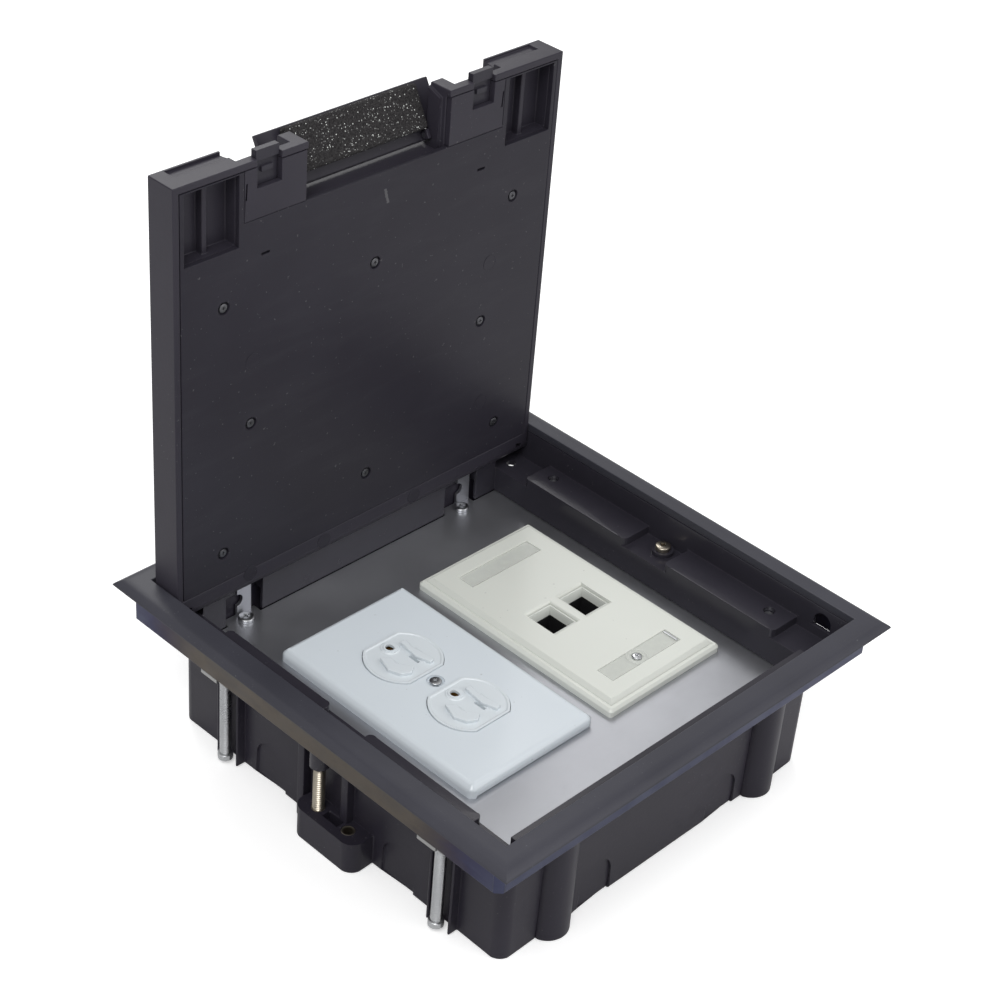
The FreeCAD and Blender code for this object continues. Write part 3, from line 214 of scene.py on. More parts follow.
def passivatedZinc(name, gloss):
    # the flange's film of colour: blue near the corners and in front, tan and grey between
    made = Finish(name, {"Metallic": 1.0})
    along = made.ramp(abs(made.axis("Y")), 0.055, 0.107)
    stain = made.noise(34, 5, 0.65, made.place(scale=(1, 1, 3)), 0.5)
    film = along * 0.75 + (stain - 0.5) * 0.55 + 0.14
    colour = made.node("ValToRGB", {"stops": [
        (0.0, (0.075, 0.07, 0.07)), (0.18, (0.10, 0.085, 0.07)), (0.36, (0.065, 0.056, 0.058)),
        (0.52, (0.050, 0.042, 0.062)), (0.70, (0.042, 0.042, 0.085)), (1.0, (0.07, 0.078, 0.125))]},
        {"Fac": film})
    made.feed("Base Color", colour)
    made.feed("Roughness", gloss + 0.14 * made.ramp(made.noise(90, 4, 0.6), 0.4, 0.7))
    made.feed("Normal", made.bump(made.noise(140, 3, 0.5), 0.00005, 0.4))
    return made.material


def glossPlastic(name, shade, lift, gloss, haze=0.08, wave=0.00005):
    # smooth glossy plastic, barely clouded, with a little haze and a few specks
    made = Finish(name, {"IOR": 1.5})
    cloud = made.ramp(made.noise(18, 3, 0.5), 0.3, 0.7)
    worn = made.ramp(made.noise(70, 4, 0.6), 0.5, 0.75)
    specks = made.ramp(made.noise(520, 1, 0.4), 0.78, 0.81)
    made.feed("Base Color", made.mix(specks * 0.35, made.mix(cloud, shade, lift), (0.30, 0.30, 0.30)))
    made.feed("Roughness", gloss + haze * worn)
    made.feed("Normal", made.bump(made.noise(55, 2, 0.4), wave, 0.25))
    return made.material


def portPlastic(name, face, socket, depth):
    # data jack: ivory funnel above, black socket below
    made = Finish(name, {"IOR": 1.48})
    cloud = made.ramp(made.noise(40, 3, 0.5), 0.3, 0.7)
    inside = made.axis("Z") < depth
    made.feed("Base Color", made.mix(inside, made.mix(cloud, face, [c * 0.93 for c in face]), socket))
    made.feed("Roughness", 0.3 + 0.25 * inside)
    return made.material


def cellFoam(name, shade, lift, spark):
    # open-cell foam: painted shade in the pits, grey skin between them, and cells painted bright as if they
    # catch the light
    made = Finish(name, {"IOR": 1.4, "Specular IOR Level": 0.25})
    pits = made.noise(1500, 3, 0.6)
    cells = made.node("TexVoronoi", {}, {"Vector": made.place(), "Scale": 1500.0}, 0)
    colours = made.node("TexVoronoi", {}, {"Vector": made.place(), "Scale": 1500.0}, 1)
    chance = made.node("SeparateColor", {}, {"Color": colours}, 0)
    bright = (chance > 0.80) * (cells < 0.36) * (0.25 + 0.75 * (chance > 0.94))
    # painted shade: darker where the pits' bump sinks; painted glints on the bright cells
    made.feed("Base Color", made.mix(bright, made.mix(made.ramp(pits, 0.35, 0.65), shade, lift), spark))
    made.feed("Roughness", 0.9 - 0.4 * bright)
    made.feed("Normal", made.bump(pits, 0.00035, 0.9))
    return made.material


def clearPlastic(name):
    # clear cover over a label, slightly yellowed and scuffed
    made = Finish(name, {"IOR": 1.46})
    scuffs = made.ramp(made.noise(120, 3, 0.6), 0.5, 0.75)
    made.feed("Base Color", made.mix(scuffs, (0.80, 0.82, 0.78), (0.76, 0.78, 0.73)))
    made.feed("Alpha", 0.42 + 0.08 * scuffs)
    made.feed("Roughness", 0.12 + 0.08 * scuffs)
    return made.material


looks = {
    "trim": mouldedPlastic("trimPlastic", (0.036, 0.036, 0.046), (0.050, 0.050, 0.063),
                           0.38, 1.6, 0.10, 0.30),
    "dark": mouldedPlastic("framePlastic", (0.026, 0.024, 0.032), (0.034, 0.032, 0.042),
                           0.20, 0.5, 0.1, 0.38),
    "tray": mouldedPlastic("trayPlastic", (0.020, 0.018, 0.026), (0.029, 0.026, 0.037),
                           0.34, 1.0, 0.1, 0.25),
    "lid": mouldedPlastic("lidPlastic", (0.026, 0.0235, 0.0325), (0.034, 0.031, 0.042),
                          0.36, 1.0, 0.1, 0.22),
    "liner": linerPlastic("linerPlastic", (0.021, 0.019, 0.0265), (0.028, 0.026, 0.035), 0.34),
    "latch": mouldedPlastic("latchPlastic", (0.024, 0.022, 0.030), (0.032, 0.030, 0.040),
                            0.34, 1.0, 0.1, 0.25),
    "flange": passivatedZinc("passivatedZinc", 0.32),
    "zinc": sheetMetal("zincPlate", (0.48, 0.49, 0.51), (0.68, 0.69, 0.70), 0.24, (1, 1, 8)),
    "steel": sheetMetal("galvanisedPlate", (0.42, 0.425, 0.455), (0.52, 0.53, 0.56), 0.30, metal=0.9),
    "claw": sheetMetal("clawSteel", (0.30, 0.30, 0.30), (0.45, 0.45, 0.44), 0.34, (6, 6, 1)),
    "stud": sheetMetal("studNickel", (0.40, 0.36, 0.30), (0.56, 0.51, 0.42), 0.26, (1, 1, 8)),
    "black": sheetMetal("blackenedSteel", (0.07, 0.07, 0.08), (0.16, 0.16, 0.17), 0.35, (4, 4, 1)),
    # brass with painted shade: darkened as the ground contacts look deep inside the ground holes
    "contact": sheetMetal("shadedBrassContact", (0.16, 0.075, 0.02), (0.30, 0.16, 0.05), 0.38, (1, 1, 8)),
    "brass": sheetMetal("plainBrass", (0.62, 0.42, 0.15), (0.80, 0.58, 0.26), 0.26, (1, 1, 8)),
    "white": glossPlastic("wallPlatePlastic", (0.69, 0.745, 0.79), (0.71, 0.765, 0.81),
                          0.16, 0.05, 0.00002),
    "outlet": glossPlastic("receptaclePlastic", (0.70, 0.75, 0.785), (0.72, 0.77, 0.80),
                           0.22, 0.05, 0.00002),
    "ivory": glossPlastic("dataPlatePlastic", (0.69, 0.71, 0.66), (0.71, 0.73, 0.68), 0.30, 0.04, 0.00001),
    "slip": glossPlastic("labelSlipPaper", (0.60, 0.62, 0.58), (0.66, 0.68, 0.63), 0.5),
    "port": portPlastic("portPlastic", (0.68, 0.70, 0.66), (0.008, 0.008, 0.009), 0.0432),
    "clear": clearPlastic("labelCoverPlastic"),
    "foam": cellFoam("foamCells", (0.014, 0.013, 0.014), (0.040, 0.038, 0.039), (0.60, 0.62, 0.60)),
}
slotLooks = {
    "dark_plastic": "dark", "tray_plastic": "tray", "lid_plastic": "lid", "latch_plastic": "latch",
    "zinc_steel": "zinc", "plate_steel": "steel", "claw_steel": "claw",
    "spring_steel": "zinc", "brass": "brass", "white_plastic": "white", "receptacle_plastic": "outlet",
    "ivory_plastic": "ivory", "jack_plastic": "port", "clear_plastic": "clear", "foam": "foam"}
for part in frame["record"]["subparts"]:
    mesh = nodes[part["node"]].data
    mesh.materials.clear()
    mesh.materials.append(looks[slotLooks[part["material_slot"]]])
print("finishes made")

bodyOf = {node: body for body, names in frame["record"]["behaviour"]["bodies"].items() for node in names}


def claim(piece, name, look, body, replaced=()):
    # names a finished piece, gives it its finish and its place among the bodies
    piece.name = piece.data.name = name
    piece.data.materials.clear()
    piece.data.materials.append(looks[look])
    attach(piece, body)
    if replaced:
        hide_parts(*replaced)
    return piece


def pick(test, kind="faces"):
    # selects what passes the test in the mesh being edited
    mesh = bmesh.from_edit_mesh(bpy.context.object.data)
    bpy.ops.mesh.select_mode(type={"faces": "FACE", "edges": "EDGE", "verts": "VERT"}[kind])
    for item in getattr(mesh, kind):
        item.select_set(bool(test(item)))
    mesh.select_flush_mode()
    bmesh.update_edit_mesh(bpy.context.object.data)


def editing(on):
    bpy.ops.object.mode_set(mode="EDIT" if on else "OBJECT")


def begin(kind, **facts):
    # a primitive, alone in the selection and open for editing
    bpy.ops.object.select_all(action="DESELECT")
    getattr(bpy.ops.mesh, "primitive_%s_add" % kind)(**facts)
    bpy.ops.object.transform_apply(location=True, rotation=True, scale=True)
    editing(True)
    bpy.ops.mesh.select_all(action="DESELECT")
    return bpy.context.object


def apply(piece, kind, **facts):
    bpy.context.view_layer.objects.active = piece
    modifier = piece.modifiers.new(kind.title(), kind)
    for key, value in facts.items():
        setattr(modifier, key, value)
    bpy.ops.object.modifier_apply(modifier=modifier.name)


def only(piece):
    bpy.ops.object.select_all(action="DESELECT")
    piece.select_set(True)
    bpy.context.view_layer.objects.active = piece


def soften(piece, width, least=0.0, sharp=30, steps=2, smooth=32, weigh=None):
    # rounds the long sharp edges and keeps the flat faces' shading flat
    only(piece)
    editing(True)
    mesh = bmesh.from_edit_mesh(piece.data)
    layers = mesh.edges.layers.float
    weight = layers.get("bevel_weight_edge") or layers.new("bevel_weight_edge")
    for edge in mesh.edges:
        wanted = len(edge.link_faces) == 2 and edge.calc_length() > least
        wanted = wanted and edge.calc_face_angle(0) > math.radians(sharp)
        edge[weight] = (weigh(edge) if weigh else 1.0) if wanted else 0.0
    bmesh.update_edit_mesh(piece.data)
    editing(False)
    apply(piece, "BEVEL", limit_method="WEIGHT", width=width, segments=steps, use_clamp_overlap=False)
    bpy.ops.object.shade_smooth_by_angle(angle=math.radians(smooth))
    apply(piece, "WEIGHTED_NORMAL", keep_sharp=True)
    return piece


def cadCopy(sources):
    # a merged copy of CAD nodes with its flat faces rejoined
    bpy.ops.object.select_all(action="DESELECT")
    for source in sources:
        copy = bpy.data.objects.new(source + "Copy", nodes[source].data.copy())
        bpy.context.collection.objects.link(copy)
        copy.select_set(True)
        bpy.context.view_layer.objects.active = copy
    if len(sources) > 1:
        bpy.ops.object.join()
    piece = bpy.context.object
    editing(True)
    bpy.ops.mesh.select_all(action="SELECT")
    bpy.ops.mesh.remove_doubles(threshold=0.000002)
    bpy.ops.mesh.dissolve_limited(angle_limit=math.radians(0.4))
    bpy.ops.mesh.vert_connect_concave()
    bpy.ops.mesh.normals_make_consistent(inside=False)
    editing(False)
    if piece.data.has_custom_normals:
        bpy.ops.mesh.customdata_custom_splitnormals_clear()
    return piece


def cutAway(piece, cutter):
    # takes a cutter's shape out of a piece
    apply(piece, "BOOLEAN", operation="DIFFERENCE", object=cutter, solver="EXACT")
    bpy.data.objects.remove(cutter)


def copyTo(piece, name, shift):
    # another of the same piece, with its own mesh
    twin = piece.copy()
    twin.data = piece.data.copy()
    twin.name = twin.data.name = name
    twin.data.transform(Matrix.Translation(shift))
    bpy.context.collection.objects.link(twin)
    return twin


def joined(pieces):
    bpy.ops.object.select_all(action="DESELECT")
    for piece in pieces:
        piece.select_set(True)
    bpy.context.view_layer.objects.active = pieces[0]
    bpy.ops.object.join()
    return bpy.context.object


# moulded and pressed pieces: the frame's own shapes with their long edges rounded
rounded = {
    "trimRing": {"from": ["trim_frame"], "look": "trim", "width": 0.0005, "least": 0.05, "steps": 3},
    "flangeRing": {"from": ["support_flange"], "look": "flange", "width": 0.0006, "least": 0.003,
                   "steps": 3},
    "frameBody": {"from": ["frame_moulding"], "look": "dark", "width": 0.00045, "least": 0.004},
    "metalPlate": {"from": ["device_plate"], "look": "steel", "width": 0.0002, "least": 0.004},
    "duplexCover": {"from": ["duplex_plate"], "look": "white", "width": 0.0011, "least": 0.02, "sharp": 20,
                    "steps": 4, "smooth": 60},
    "lidBody": {"from": ["lid_shell"], "look": "lid", "width": 0.0005, "least": 0.002, "steps": 3},
    "latchCoverPair": {"from": ["latch_covers"], "look": "lid", "width": 0.0002, "least": 0.001},
    "flapPlate": {"from": ["cable_flap"], "look": "lid", "width": 0.0004, "least": 0.0015},
    "latchLeft": {"from": ["latch_left"], "look": "latch", "width": 0.00025, "least": 0.001},
    "latchRight": {"from": ["latch_right"], "look": "latch", "width": 0.00025, "least": 0.001},
    "brassPinLeft": {"from": ["hinge_pin_left"], "look": "brass", "width": 0.0002, "least": 0.0},
    "brassPinRight": {"from": ["hinge_pin_right"], "look": "brass", "width": 0.0002, "least": 0.0}}
for corner in ("front_left", "front_right", "back_left", "back_right"):
    rounded["claw" + corner.title().replace("_", "")] = {
        "from": ["clamp_claw_" + corner], "look": "claw", "width": 0.0004, "least": 0.0015}
for name, plan in rounded.items():
    source = plan["from"][0]
    piece = soften(cadCopy(plan["from"]), plan["width"], plan["least"], plan.get("sharp", 30),
                   plan.get("steps", 2), plan.get("smooth", 32))
    claim(piece, name, plan["look"], bodyOf[source], plan["from"])
print("rounded pieces made:", len(rounded))

# the tray is one moulding, so its five nodes become one skin without seams
trayNodes = ["tray_floor", "tray_front", "tray_back", "tray_left", "tray_right"]
trayPiece = cadCopy(trayNodes[:1])
for source in trayNodes[1:]:
    wall = cadCopy([source])
    only(trayPiece)
    apply(trayPiece, "BOOLEAN", operation="UNION", object=wall, solver="EXACT")
    bpy.data.objects.remove(wall)
only(trayPiece)
editing(True)
bpy.ops.mesh.select_all(action="SELECT")
bpy.ops.mesh.remove_doubles(threshold=0.000002)
bpy.ops.mesh.dissolve_limited(angle_limit=math.radians(0.4))
editing(False)
claim(soften(trayPiece, 0.0006, 0.003), "trayMoulding", "tray", "tray_body", trayNodes)
print("tray made")

# lid liner: one flat cover with a screw dimple in each place and small slots near the latches
lidFace = 0.0864
lidMarks = {"dimples": [(-0.0785, 0.2021), (0.0785, 0.2005), (-0.0785, 0.0861), (0.0785, 0.0861),
                        (-0.0645, 0.1441), (0.0645, 0.1441), (0.0, 0.1951), (0.0, 0.0921)],
            "radius": 0.0033, "depth": 0.0011, "slots": [(-0.058, 0.2193), (0.058, 0.2193)],
            "slot": (0.0042, 0.0011), "taper": 0.82, "screw": (0.0019, 0.0008, 0.0010),
            "disc": (0.0036, 0.0003), "discs": [(-0.0638, 0.173), (0.0675, 0.172), (0.0687, 0.101),
                                                (-0.064, 0.069), (-0.023, 0.067), (0.030, 0.067)]}
linerPiece = cadCopy(["lid_liner"])
tools = []
for x, z in lidMarks["dimples"]:
    begin("cylinder", vertices=28, radius=lidMarks["radius"], depth=0.004,
          location=(x, lidFace + lidMarks["depth"] - 0.002, z), rotation=(math.pi / 2, 0, 0))
    pick(lambda face: face.calc_center_median().y > lidFace)
    bpy.ops.transform.resize(value=(lidMarks["taper"], 1, lidMarks["taper"]),
                             center_override=(x, lidFace, z))
    editing(False)
    tools.append(bpy.context.object)
for x, z in lidMarks["slots"]:
    begin("cube", size=1, location=(x, lidFace, z),
          scale=(lidMarks["slot"][0], 0.003, lidMarks["slot"][1]))
    editing(False)
    tools.append(bpy.context.object)
cutAway(linerPiece, joined(tools))
claim(soften(linerPiece, 0.00025, 0.001, 35), "linerSheet", "liner", "lid", ["lid_liner"])

# faint round marks that the mould's ejector pins leave
marks = []
for x, z in lidMarks["discs"]:
    begin("cylinder", vertices=32, radius=lidMarks["disc"][0], depth=lidMarks["disc"][1],
          location=(x, lidFace, z), rotation=(math.pi / 2, 0, 0))
    pick(lambda face: face.calc_center_median().y < lidFace - 0.0001)
    bpy.ops.mesh.inset(thickness=0.00035, depth=-0.0001)
    editing(False)
    marks.append(bpy.context.object)
claim(soften(joined(marks), 0.00004, 0.0, 60, 1), "ejectorMarks", "liner", "lid")
print("lid face made")


def crossHead(name, radius, rise, arm):
    # a domed screw head with a cross recess
    begin("cylinder", vertices=36, radius=radius, depth=rise, location=(0, 0, rise / 2))
    pick(lambda face: face.calc_center_median().z > rise * 0.9)
    for share, lift in ((0.12, 0.16), (0.2, 0.10), (0.25, 0.06)):
        bpy.ops.mesh.inset(thickness=radius * share, depth=0)
        bpy.ops.transform.translate(value=(0, 0, rise * lift))
    editing(False)
    head = bpy.context.object
    bars = []
    for turned in (0, math.pi / 2):
        begin("cube", size=1, location=(0, 0, rise), rotation=(0, 0, turned),
              scale=(arm * 2, arm * 0.42, rise * 1.3))
        pick(lambda face: face.calc_center_median().z < rise * 0.5)
        bpy.ops.transform.resize(value=(0.6, 0.6, 1), center_override=(0, 0, rise))
        editing(False)
        bars.append(bpy.context.object)
    for bar in bars:
        only(head)
        cutAway(head, bar)
    soften(head, radius * 0.05, radius * 0.1, 40, 2, 40)
    head.name = name
    return head


def rod(name, radius, low, high, tipped=0.0):
    # a plain shaft with a chamfer at its foot
    begin("cylinder", vertices=28, radius=radius, depth=high - low, location=(0, 0, (high + low) / 2))
    if tipped:
        pick(lambda face: face.calc_center_median().z < low + 0.0001)
        bpy.ops.mesh.inset(thickness=tipped, depth=0)
        bpy.ops.transform.translate(value=(0, 0, -tipped * 0.7))
    editing(False)
    bpy.context.object.name = name
    return bpy.context.object


def thread(name, radius, depth, pitch, low, high):
    # a V ridge carried up a helix, to sit on a rod
    point = pitch * 0.52
    begin("circle", vertices=3, radius=point, location=(0, 0, 0), rotation=(math.pi / 2, math.pi / 2, 0))
    editing(False)
    ridge = bpy.context.object
    flatter = depth / (point * 1.5)
    ridge.data.transform(Matrix.Translation((radius - point * flatter, 0, low)) @ Matrix.Diagonal(
        (flatter, 1, 1, 1)))
    apply(ridge, "SCREW", angle=math.tau, screw_offset=pitch, iterations=int((high - low) / pitch) - 1,
          steps=22, render_steps=22, use_normal_calculate=True)
    only(ridge)
    editing(True)
    bpy.ops.mesh.select_all(action="SELECT")
    bpy.ops.mesh.remove_doubles(threshold=0.000001)
    bpy.ops.mesh.fill_holes(sides=3)
    bpy.ops.mesh.normals_make_consistent(inside=False)
    editing(False)
    ridge.name = name
    return ridge


def settle(piece, shift, smooth=35):
    # moves a piece's mesh, leaving the object at the origin
    piece.data.transform(Matrix.Translation(shift))
    only(piece)
    bpy.ops.object.shade_smooth_by_angle(angle=math.radians(smooth))
    return piece


def headSet(size, spots, turned=0.0):
    # one head copied to each of its spots, as a single piece
    pattern = crossHead("pattern", *size)
    pattern.data.transform(Matrix.Rotation(turned, 4, "X"))
    heads = [copyTo(pattern, "screwHead", spot) for spot in spots]
    bpy.data.objects.remove(pattern)
    return joined(heads)


# the heads that lie on the device plate, in the lid's dimples and in the duplex plate
plateScrews = {"head": (0.0035, 0.0016, 0.0017), "spots": [
    (sx * 0.064, y, 0.043) for sx in (1, -1) for y in (0.0889, -0.0865)]}
claim(headSet(plateScrews["head"], plateScrews["spots"]), "plateScrewHeads", "zinc", "tray_body",
      ["plate_screws"])
lidSpots = [(x, lidFace + lidMarks["depth"], z) for x, z in lidMarks["dimples"]]
claim(headSet(lidMarks["screw"], lidSpots, math.pi / 2), "lidScrewHeads", "black", "lid")
duplexScrew = {"head": (0.0026, 0.0010, 0.0013), "spot": (-0.0354, 0.0026, 0.0478)}
claim(settle(crossHead("duplexHead", *duplexScrew["head"]), duplexScrew["spot"]), "duplexScrewHead",
      "zinc", "tray_body", ["duplex_screw"])

# levelling screws: a head on the boss and a threaded stud below, clamp screws beside them
studs = {"level": {"spots": [(0.097, -0.004), (-0.097, 0.004)], "radius": 0.0026, "low": 0.0075,
                   "high": 0.0576, "pitch": 0.0011, "depth": 0.0005, "look": "stud",
                   "head": (0.0035, 0.0018, 0.0018)},
         "clamp": {"spots": [(sx * 0.0965, y) for sx in (1, -1) for y in (0.063, -0.065)],
                   "radius": 0.0025, "low": 0.0032, "high": 0.0576, "pitch": 0.0009, "depth": 0.0003,
                   "look": "zinc", "foot": (0.0033, 0.0020, 0.0045, 0.0006)}}
for name, plan in studs.items():
    made = []
    for x, y in plan["spots"]:
        pieces = [rod(name, plan["radius"] - plan["depth"] * 0.8, plan["low"] - 0.001, plan["high"]),
                  thread(name, plan["radius"], plan["depth"], plan["pitch"], plan["low"], plan["high"])]
        if "foot" in plan:
            foot = rod(name, *plan["foot"])
            only(foot)
            editing(True)
            pick(lambda face: face.calc_center_median().z > plan["foot"][2] - 0.0001)
            bpy.ops.mesh.inset(thickness=plan["foot"][3], depth=0.0004)
            editing(False)
            pieces.append(foot)
        else:
            head = crossHead(name, *plan["head"])
            head.data.transform(Matrix.Translation((0, 0, plan["high"])))
            pieces.append(head)
        for piece in pieces:
            piece.data.transform(Matrix.Translation((x, y, 0)))
        made += pieces
    claim(settle(joined(made), (0, 0, 0)), name + "Screws", plan["look"], "frame",
          [name + "_screws"])
claim(soften(cadCopy(["brass_inserts"]), 0.0003, 0.0, 40), "brassInsertRings", "stud", "tray_body",
      ["brass_inserts"])

# latch springs: a wire coil for each latch, carried with the lid
springs = {"x": 0.0565, "y": 0.0908, "low": 0.2318, "high": 0.2420, "coil": 0.00148, "wire": 0.0003,
           "turns": 6, "keep": 0.68}
for side, name in ((-1, "left"), (1, "right")):
    begin("circle", vertices=10, radius=springs["wire"], location=(springs["coil"], 0, springs["wire"]),
          rotation=(math.pi / 2, 0, 0))
    editing(False)
    coil = bpy.context.object
    apply(coil, "SCREW", angle=math.tau, iterations=springs["turns"], steps=24, render_steps=24,
          screw_offset=(springs["high"] - springs["low"] - 2 * springs["wire"]) / springs["turns"],
          use_normal_calculate=True)
    only(coil)
    editing(True)
    bpy.ops.mesh.select_all(action="SELECT")
    bpy.ops.mesh.fill_holes(sides=10)
    bpy.ops.mesh.normals_make_consistent(inside=False)
    editing(False)
    settle(coil, (side * springs["x"], springs["y"], springs["low"]), 50)
    claim(coil, "latchSpring" + name.title(), "zinc", "lid", ["latch_spring_" + name])
    "latch_%s_slide" % name
    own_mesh(coil)
print("screws made")

# duplex: two faces with a bright rim, wedge covers beside the slots and a D-shaped ground hole
outlet = {"x": -0.0354, "rows": (0.02205, -0.01685), "top": 0.0492, "rim": 0.0010, "sink": 0.0004,
          "slit": (0.0029, -0.0036), "slitSize": (0.0013, 0.0058, 0.008),
          "ground": 0.008, "bezel": (0.0030, 0.0014), "hole": (0.0021, 0.004), "flat": 0.0007,
          "rightWedge": [(0.0048, 0.0072), (0.0078, 0.0070), (0.0066, 0.0010), (0.0082, -0.0100),
                         (0.0056, -0.0105), (0.0034, -0.0040)],
          "leftWedge": [(-0.0088, 0.0050), (-0.0050, 0.0020), (-0.0058, -0.0022), (-0.0018, -0.0082),
                        (-0.0050, -0.0104), (-0.0092, -0.0084), (-0.0114, -0.0028)]}


def rectangle(x, y, halfX, halfY):
    # the corners of an outline round a middle
    return [(x + sx * halfX, y + sy * halfY) for sx, sy in ((-1, -1), (1, -1), (1, 1), (-1, 1))]


def faceOut():
    # turns every face of the mesh being edited outwards
    bpy.ops.mesh.select_all(action="SELECT")
    bpy.ops.mesh.normals_make_consistent(inside=False)


def plateOf(corners, z, rise):
    # a low block from an outline
    mesh = bpy.data.meshes.new("outline")
    piece = bpy.data.objects.new("outline", mesh)
    bpy.context.collection.objects.link(piece)
    only(piece)
    editing(True)
    drawing = bmesh.from_edit_mesh(mesh)
    drawing.faces.new([drawing.verts.new((x, y, z)) for x, y in corners])
    bmesh.update_edit_mesh(mesh)
    bpy.ops.mesh.select_all(action="SELECT")
    bpy.ops.mesh.extrude_region_move(TRANSFORM_OT_translate={"value": (0, 0, rise)})
    faceOut()
    editing(False)
    return piece


receptacle = cadCopy(["receptacle_body"])
editing(True)
for step, sink in ((outlet["rim"], 0.0), (0.0004, outlet["sink"])):
    pick(lambda face: face.normal.z > 0.9 and face.calc_center_median().z > outlet["top"] - 0.0001
         if not sink else face.select)
    bpy.ops.mesh.inset(thickness=step, depth=-sink, use_even_offset=True)
editing(False)
slits = []
for row in outlet["rows"]:
    begin("cube", size=1, scale=outlet["slitSize"],
          location=(outlet["x"] + outlet["slit"][0], row + outlet["slit"][1], outlet["top"]))
    editing(False)
    slits.append(bpy.context.object)
slitCutter = joined(slits)
only(receptacle)
cutAway(receptacle, slitCutter)
claim(soften(receptacle, 0.0002, 0.0006, 40, 2, 40), "receptacleFaces", "outlet", "tray_body",
      ["receptacle_body"])
wedges, bezels = [], []
for row in outlet["rows"]:
    for key in ("rightWedge", "leftWedge"):
        block = plateOf([(outlet["x"] + x, row + y) for x, y in outlet[key]],
                        outlet["top"] - 0.0006, 0.0018)
        wedges.append(soften(block, 0.0004, 0.0, 30, 3, 40))
    begin("cylinder", vertices=32, radius=outlet["bezel"][0], depth=outlet["bezel"][1],
          location=(outlet["x"], row + outlet["ground"], outlet["top"] - 0.0003))
    editing(False)
    bezel = bpy.context.object
    begin("cylinder", vertices=24, radius=outlet["hole"][0], depth=outlet["hole"][1],
          location=(outlet["x"], row + outlet["ground"], outlet["top"]))
    pick(lambda v: v.co.x > outlet["x"] + outlet["flat"], "verts")
    bpy.ops.transform.resize(value=(0.45, 1, 1), center_override=(
        outlet["x"] + outlet["flat"], row + outlet["ground"], 0))
    editing(False)
    hole = bpy.context.object
    only(bezel)
    cutAway(bezel, hole)
    bezels.append(soften(bezel, 0.00018, 0.0, 40, 2, 40))
claim(joined(wedges + bezels), "outletDetails", "outlet", "tray_body")
# the ground contacts take the brass darkened with painted shade
claim(soften(cadCopy(["ground_contacts"]), 0.0001, 0.0, 40), "groundTubes", "contact", "tray_body",
      ["ground_contacts"])
print("outlets made")

# data plate: crisp bevels, funnel-shaped ports with a dark socket, and two label windows
dataPlate = {"x": 0.042, "screwX": 0.0405, "edge": 0.22, "rim": (0.0078, 0.0086, 0.0488)}
port = {"reach": 0.0101, "y": 0.0008, "top": 0.0476, "half": (0.0073, 0.0081), "block": 0.022,
        "deep": 0.0045, "socket": 0.014, "funnel": (0.0068, 0.0076), "narrow": (0.84, 0.76, 1),
        "towards": (0.0014, 0.0012),
        "mouth": [(-0.0048, -0.0048), (0.0064, -0.0048), (0.0064, 0.0066), (-0.0026, 0.0066),
                  (-0.0026, 0.0026), (-0.0048, 0.0026)]}


def portRim(edge):
    # a full bevel round each port and a slight one elsewhere
    middle = (edge.verts[0].co + edge.verts[1].co) / 2
    wide, long, high = dataPlate["rim"]
    near = abs(abs(middle.x - dataPlate["x"]) - port["reach"]) < wide
    near = near and abs(middle.y - port["y"]) < long
    return 1.0 if near and middle.z > high else dataPlate["edge"]


claim(soften(cadCopy(["data_plate"]), 0.0013, 0.004, 25, 3, 40, portRim), "dataCover", "ivory", "tray_body",
      ["data_plate"])
for side, name, node in ((-1, "portLeft", "keystone_jack_left"), (1, "portRight", "keystone_jack_right")):
    x = dataPlate["x"] + side * port["reach"]
    shell = plateOf(rectangle(x, port["y"], *port["half"]), port["top"] - port["block"], port["block"])
    mouth = plateOf([(x + mx, port["y"] + my) for mx, my in port["mouth"]], port["top"] - port["socket"],
                    port["socket"] + 0.002)
    only(shell)
    cutAway(shell, mouth)
    funnel = plateOf(rectangle(x, port["y"], *port["funnel"]), port["top"] - port["deep"],
                     port["deep"] + 0.001)
    only(funnel)
    editing(True)
    pick(lambda face: face.calc_center_median().z < port["top"] - port["deep"] + 0.0002)
    bpy.ops.transform.resize(value=port["narrow"], center_override=(
        x + port["towards"][0], port["y"] + port["towards"][1], 0))
    editing(False)
    only(shell)
    cutAway(shell, funnel)
    claim(soften(shell, 0.0002, 0.0008, 30, 2, 40), name, "port", "tray_body", [node])

# label windows: a clear pane over a slip in each row, and a screw ring and a tab in front
windows = {"rows": (0.0423, -0.0407), "front": [-0.0407], "half": (0.0211, 0.0043), "z": 0.0483,
           "pane": 0.0005, "hole": 0.0027, "margin": (0.0005, 0.0004), "slipZ": 0.0478,
           "slip": 0.0002, "tabZ": 0.0486, "tab": 0.0006,
           "tabOutline": [(0.0193, -0.0038), (0.0206, -0.0038), (0.0206, 0.0038), (0.0193, 0.0038)],
           "head": (0.0022, 0.0010, 0.0012), "ring": (0.0050, 0.0003, 0.0007), "ringZ": 0.0488}
covers = []
for row in windows["rows"]:
    pane = plateOf(rectangle(dataPlate["x"], row, *windows["half"]), windows["z"], windows["pane"])
    if row in windows["front"]:
        begin("cylinder", vertices=32, radius=windows["hole"], depth=0.004,
              location=(dataPlate["screwX"], row, windows["z"]))
        editing(False)
        hole = bpy.context.object
        only(pane)
        cutAway(pane, hole)
    covers.append(soften(pane, 0.00015, 0.0, 30, 2, 40))
claim(joined(covers), "labelPanes", "clear", "tray_body", ["label_covers"])
labels = []
slipHalf = [half - margin for half, margin in zip(windows["half"], windows["margin"])]
for row in windows["rows"]:
    slip = plateOf(rectangle(dataPlate["x"], row, *slipHalf), windows["slipZ"], windows["slip"])
    labels.append(soften(slip, 0.00006, 0.0, 30, 2, 40))
claim(joined(labels), "labelSlips", "slip", "tray_body")
ends = []
